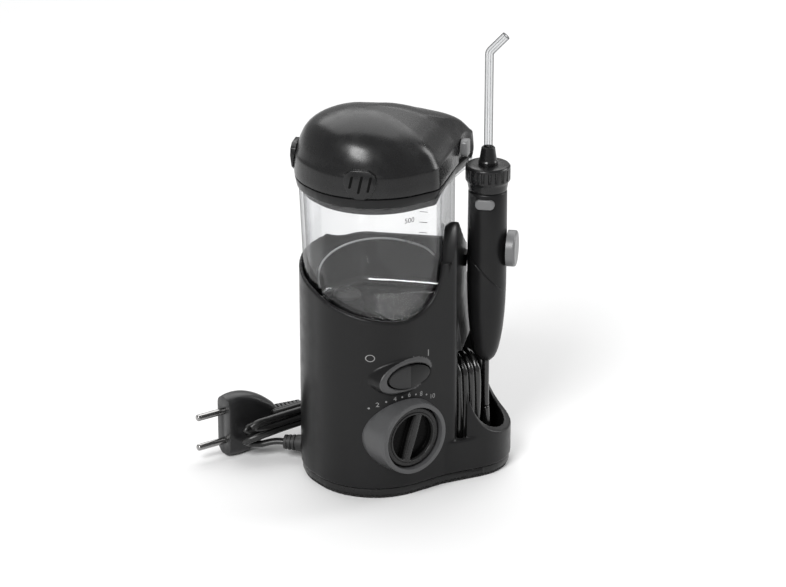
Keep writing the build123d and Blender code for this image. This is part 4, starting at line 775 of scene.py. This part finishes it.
# the run to the plug starts inside the bundle at its right end
cord_line, cord_len = resample(route_len_line, 2.2)
cable = tube("mains_cord", cord_line * MM, [(a * MM, b * MM) for a, b in flat_profile(W, H)], "cord_black", level=(0, 0, 1), angle=60)
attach(cable, "base")
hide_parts("power_cord", "cord_hank")
lead_pts = [(-9.5, 65, 19), (-4.0, 65.0, 19.0), (4.0, 64.4, 18.9), (12.0, 62.6, 19.6), (20.0, 59.8, 20.4), (28.5, 57.6, 20.9), (34.0, 55.4, 21.0)]
lead_line, lead_len = resample(chaikin(lead_pts, 3), 2.0)
lead = tube("plug_lead_skin", lead_line * MM, [(a * MM, b * MM) for a, b in flat_profile(W, H)], "cord_black", level=(0, 0, 1), angle=60)
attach(lead, "base")
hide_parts("plug_lead")

print("lengths", coil_len, drop_len, cord_len, lead_len)


# ---------------------------------------------------------------- printed marks
deps = bpy.context.evaluated_depsgraph_get()


def bvh(name):
    o = nodes[name]
    return BVHTree.FromPolygons([v.co.copy() for v in o.data.vertices], [tuple(p.vertices) for p in o.data.polygons])


house = BVHTree.FromPolygons([v.co.copy() for v in housing.data.vertices], [tuple(p.vertices) for p in housing.data.polygons])
tank_tree = bvh("reservoir")


def printed(name, verts2, faces, mat, tree=house, lift=0.00006, origin_y=-0.09, body="base"):
    """Projects flat artwork (x, z in mm) onto the front of a node."""
    out = []
    for x, z in verts2:
        hit = tree.ray_cast(Vector((x * MM, origin_y, z * MM)), Vector((0, 1, 0)))
        y = hit[0].y if hit[0] else -0.043
        out.append((x * MM, y - lift, z * MM))
    o = mesh_object(name, out, faces, mat, smooth=False)
    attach(o, body)
    return o


def ring_art(cx, cz, r0, r1, n=28):
    v = [(cx + r * math.cos(2 * math.pi * k / n), cz + r * math.sin(2 * math.pi * k / n)) for k in range(n) for r in (r0, r1)]
    f = [(2 * k, 2 * k + 1, (2 * k + 3) % (2 * n), (2 * k + 2) % (2 * n)) for k in range(n)]
    return v, f


def disc_art(cx, cz, r, n=14):
    v = [(cx, cz)] + [(cx + r * math.cos(2 * math.pi * k / n), cz + r * math.sin(2 * math.pi * k / n)) for k in range(n)]
    return v, [(0, k + 1, (k + 1) % n + 1) for k in range(n)]


def text_art(s, size, cx, cz, turn=0.0):
    c = bpy.data.curves.new("t_" + s, "FONT")
    c.body = s
    c.size = size
    c.align_x, c.align_y = "CENTER", "CENTER"
    o = bpy.data.objects.new("t_" + s, c)
    bpy.context.scene.collection.objects.link(o)
    bpy.context.view_layer.update()
    me = bpy.data.meshes.new_from_object(o.evaluated_get(bpy.context.evaluated_depsgraph_get()))
    ca, sa = math.cos(turn), math.sin(turn)
    v = [(cx + q.co.x * ca - q.co.y * sa, cz + q.co.x * sa + q.co.y * ca) for q in me.vertices]
    f = [tuple(p.vertices) for p in me.polygons]
    bpy.data.objects.remove(o, do_unlink=True)
    return v, f


def merge(parts):
    v, f = [], []
    for a, b in parts:
        k = len(v)
        v += list(a)
        f += [tuple(i + k for i in q) for q in b]
    return v, f


marks = []
for x, z in ((-26.7, 57.2), (-18.4, 61), (-9.4, 62.8), (-0.6, 62.6), (6.8, 60.7)):
    marks.append(disc_art(x, z, 0.55))
for s, x, z in (("2", -22.7, 59.3), ("4", -13.6, 62.2), ("6", -5.0, 63.3), ("8", 3.1, 62.1), ("10", 10.9, 58.6)):
    marks.append(text_art(s, 3.9, x, z))
v, f = merge(marks)
printed("dial_numbers", v, f, "print_grey")
v, f = ring_art(-26.0, 88.0, 1.75, 2.2)
printed("switch_off_mark", v, f, "print_grey")
v, f = [(7.75, 84.5), (8.25, 84.5), (8.25, 88.3), (7.75, 88.3)], [(0, 1, 2, 3)]
printed("switch_on_mark", v, f, "print_grey")

tank_marks = [text_art("500", 4.2, -4.6, 168.6), text_art("400", 4.2, -4.6, 156.0)]
for z in (172.5, 166.2, 160.0, 153.8, 147.5):
    tank_marks.append(([(2.0, z), (7.5, z - 1.6), (7.5, z - 1.25), (2.0, z + 0.35)], [(0, 1, 2, 3)]))
v, f = merge(tank_marks)
printed("tank_marks", v, f, "print_dark", tree=tank_tree, body="tank")

# ---------------------------------------------------------------- floor, light, camera
bpy.ops.mesh.primitive_plane_add(size=9.0, location=(0, 0, 0))
floor = bpy.context.object
floor.name = "floor"
fm = Mat("floor")
fn = fm.noise(3.0, 2.0, 0.5)
fr = fm.ramp(fn.outputs["Fac"], [(0.3, (0.70, 0.70, 0.70)), (0.7, (0.715, 0.715, 0.715))])
fm.t.links.new(fr.outputs["Color"], fm.b.inputs["Base Color"])
fm.t.links.new(fm.rng(fn.outputs["Fac"], 0.55, 0.65), fm.b.inputs["Roughness"])
fm.b.inputs["Specular IOR Level"].default_value = 0.25
floor.data.materials.append(fm.m)

world = bpy.data.worlds.new("studio")
bpy.context.scene.world = world
world.use_nodes = True
bg = world.node_tree.nodes["Background"]
bg.inputs["Color"].default_value = (1, 1, 1, 1)
bg.inputs["Strength"].default_value = 0.4


def area(name, loc, target, sx, sy, power):
    l = bpy.data.lights.new(name, "AREA")
    l.shape = "RECTANGLE"
    l.size, l.size_y = sx, sy
    l.energy = power
    o = bpy.data.objects.new(name, l)
    bpy.context.scene.collection.objects.link(o)
    o.location = loc
    d = Vector(target) - Vector(loc)
    o.rotation_euler = d.to_track_quat("-Z", "Y").to_euler()
    return o


area("overhead", (0.75, 1.1, 2.0), (0.02, 0.1, 0.1), 3.0, 2.4, 50)
area("left_box", (-1.25, -0.75, 1.35), (0, 0, 0.13), 0.7, 0.85, 36)
area("right_box", (1.5, -0.55, 0.8), (0.03, -0.02, 0.12), 0.6, 1.0, 12)

cam = bpy.data.cameras.new("camera")
cam_o = bpy.data.objects.new("camera", cam)
bpy.context.scene.collection.objects.link(cam_o)
cam.sensor_width = 36.0
cam.lens = 3000.0 / 786.0 * 36.0
cam_o.location = (-0.905, -1.312, 0.754)
cam_o.rotation_euler = (math.radians(68.0), 0.0, math.radians(-35.0))
cam.clip_start, cam.clip_end = 0.05, 30
bpy.context.scene.camera = cam_o
bpy.context.scene.view_settings.view_transform = "Standard"
bpy.context.scene.view_settings.look = "None"
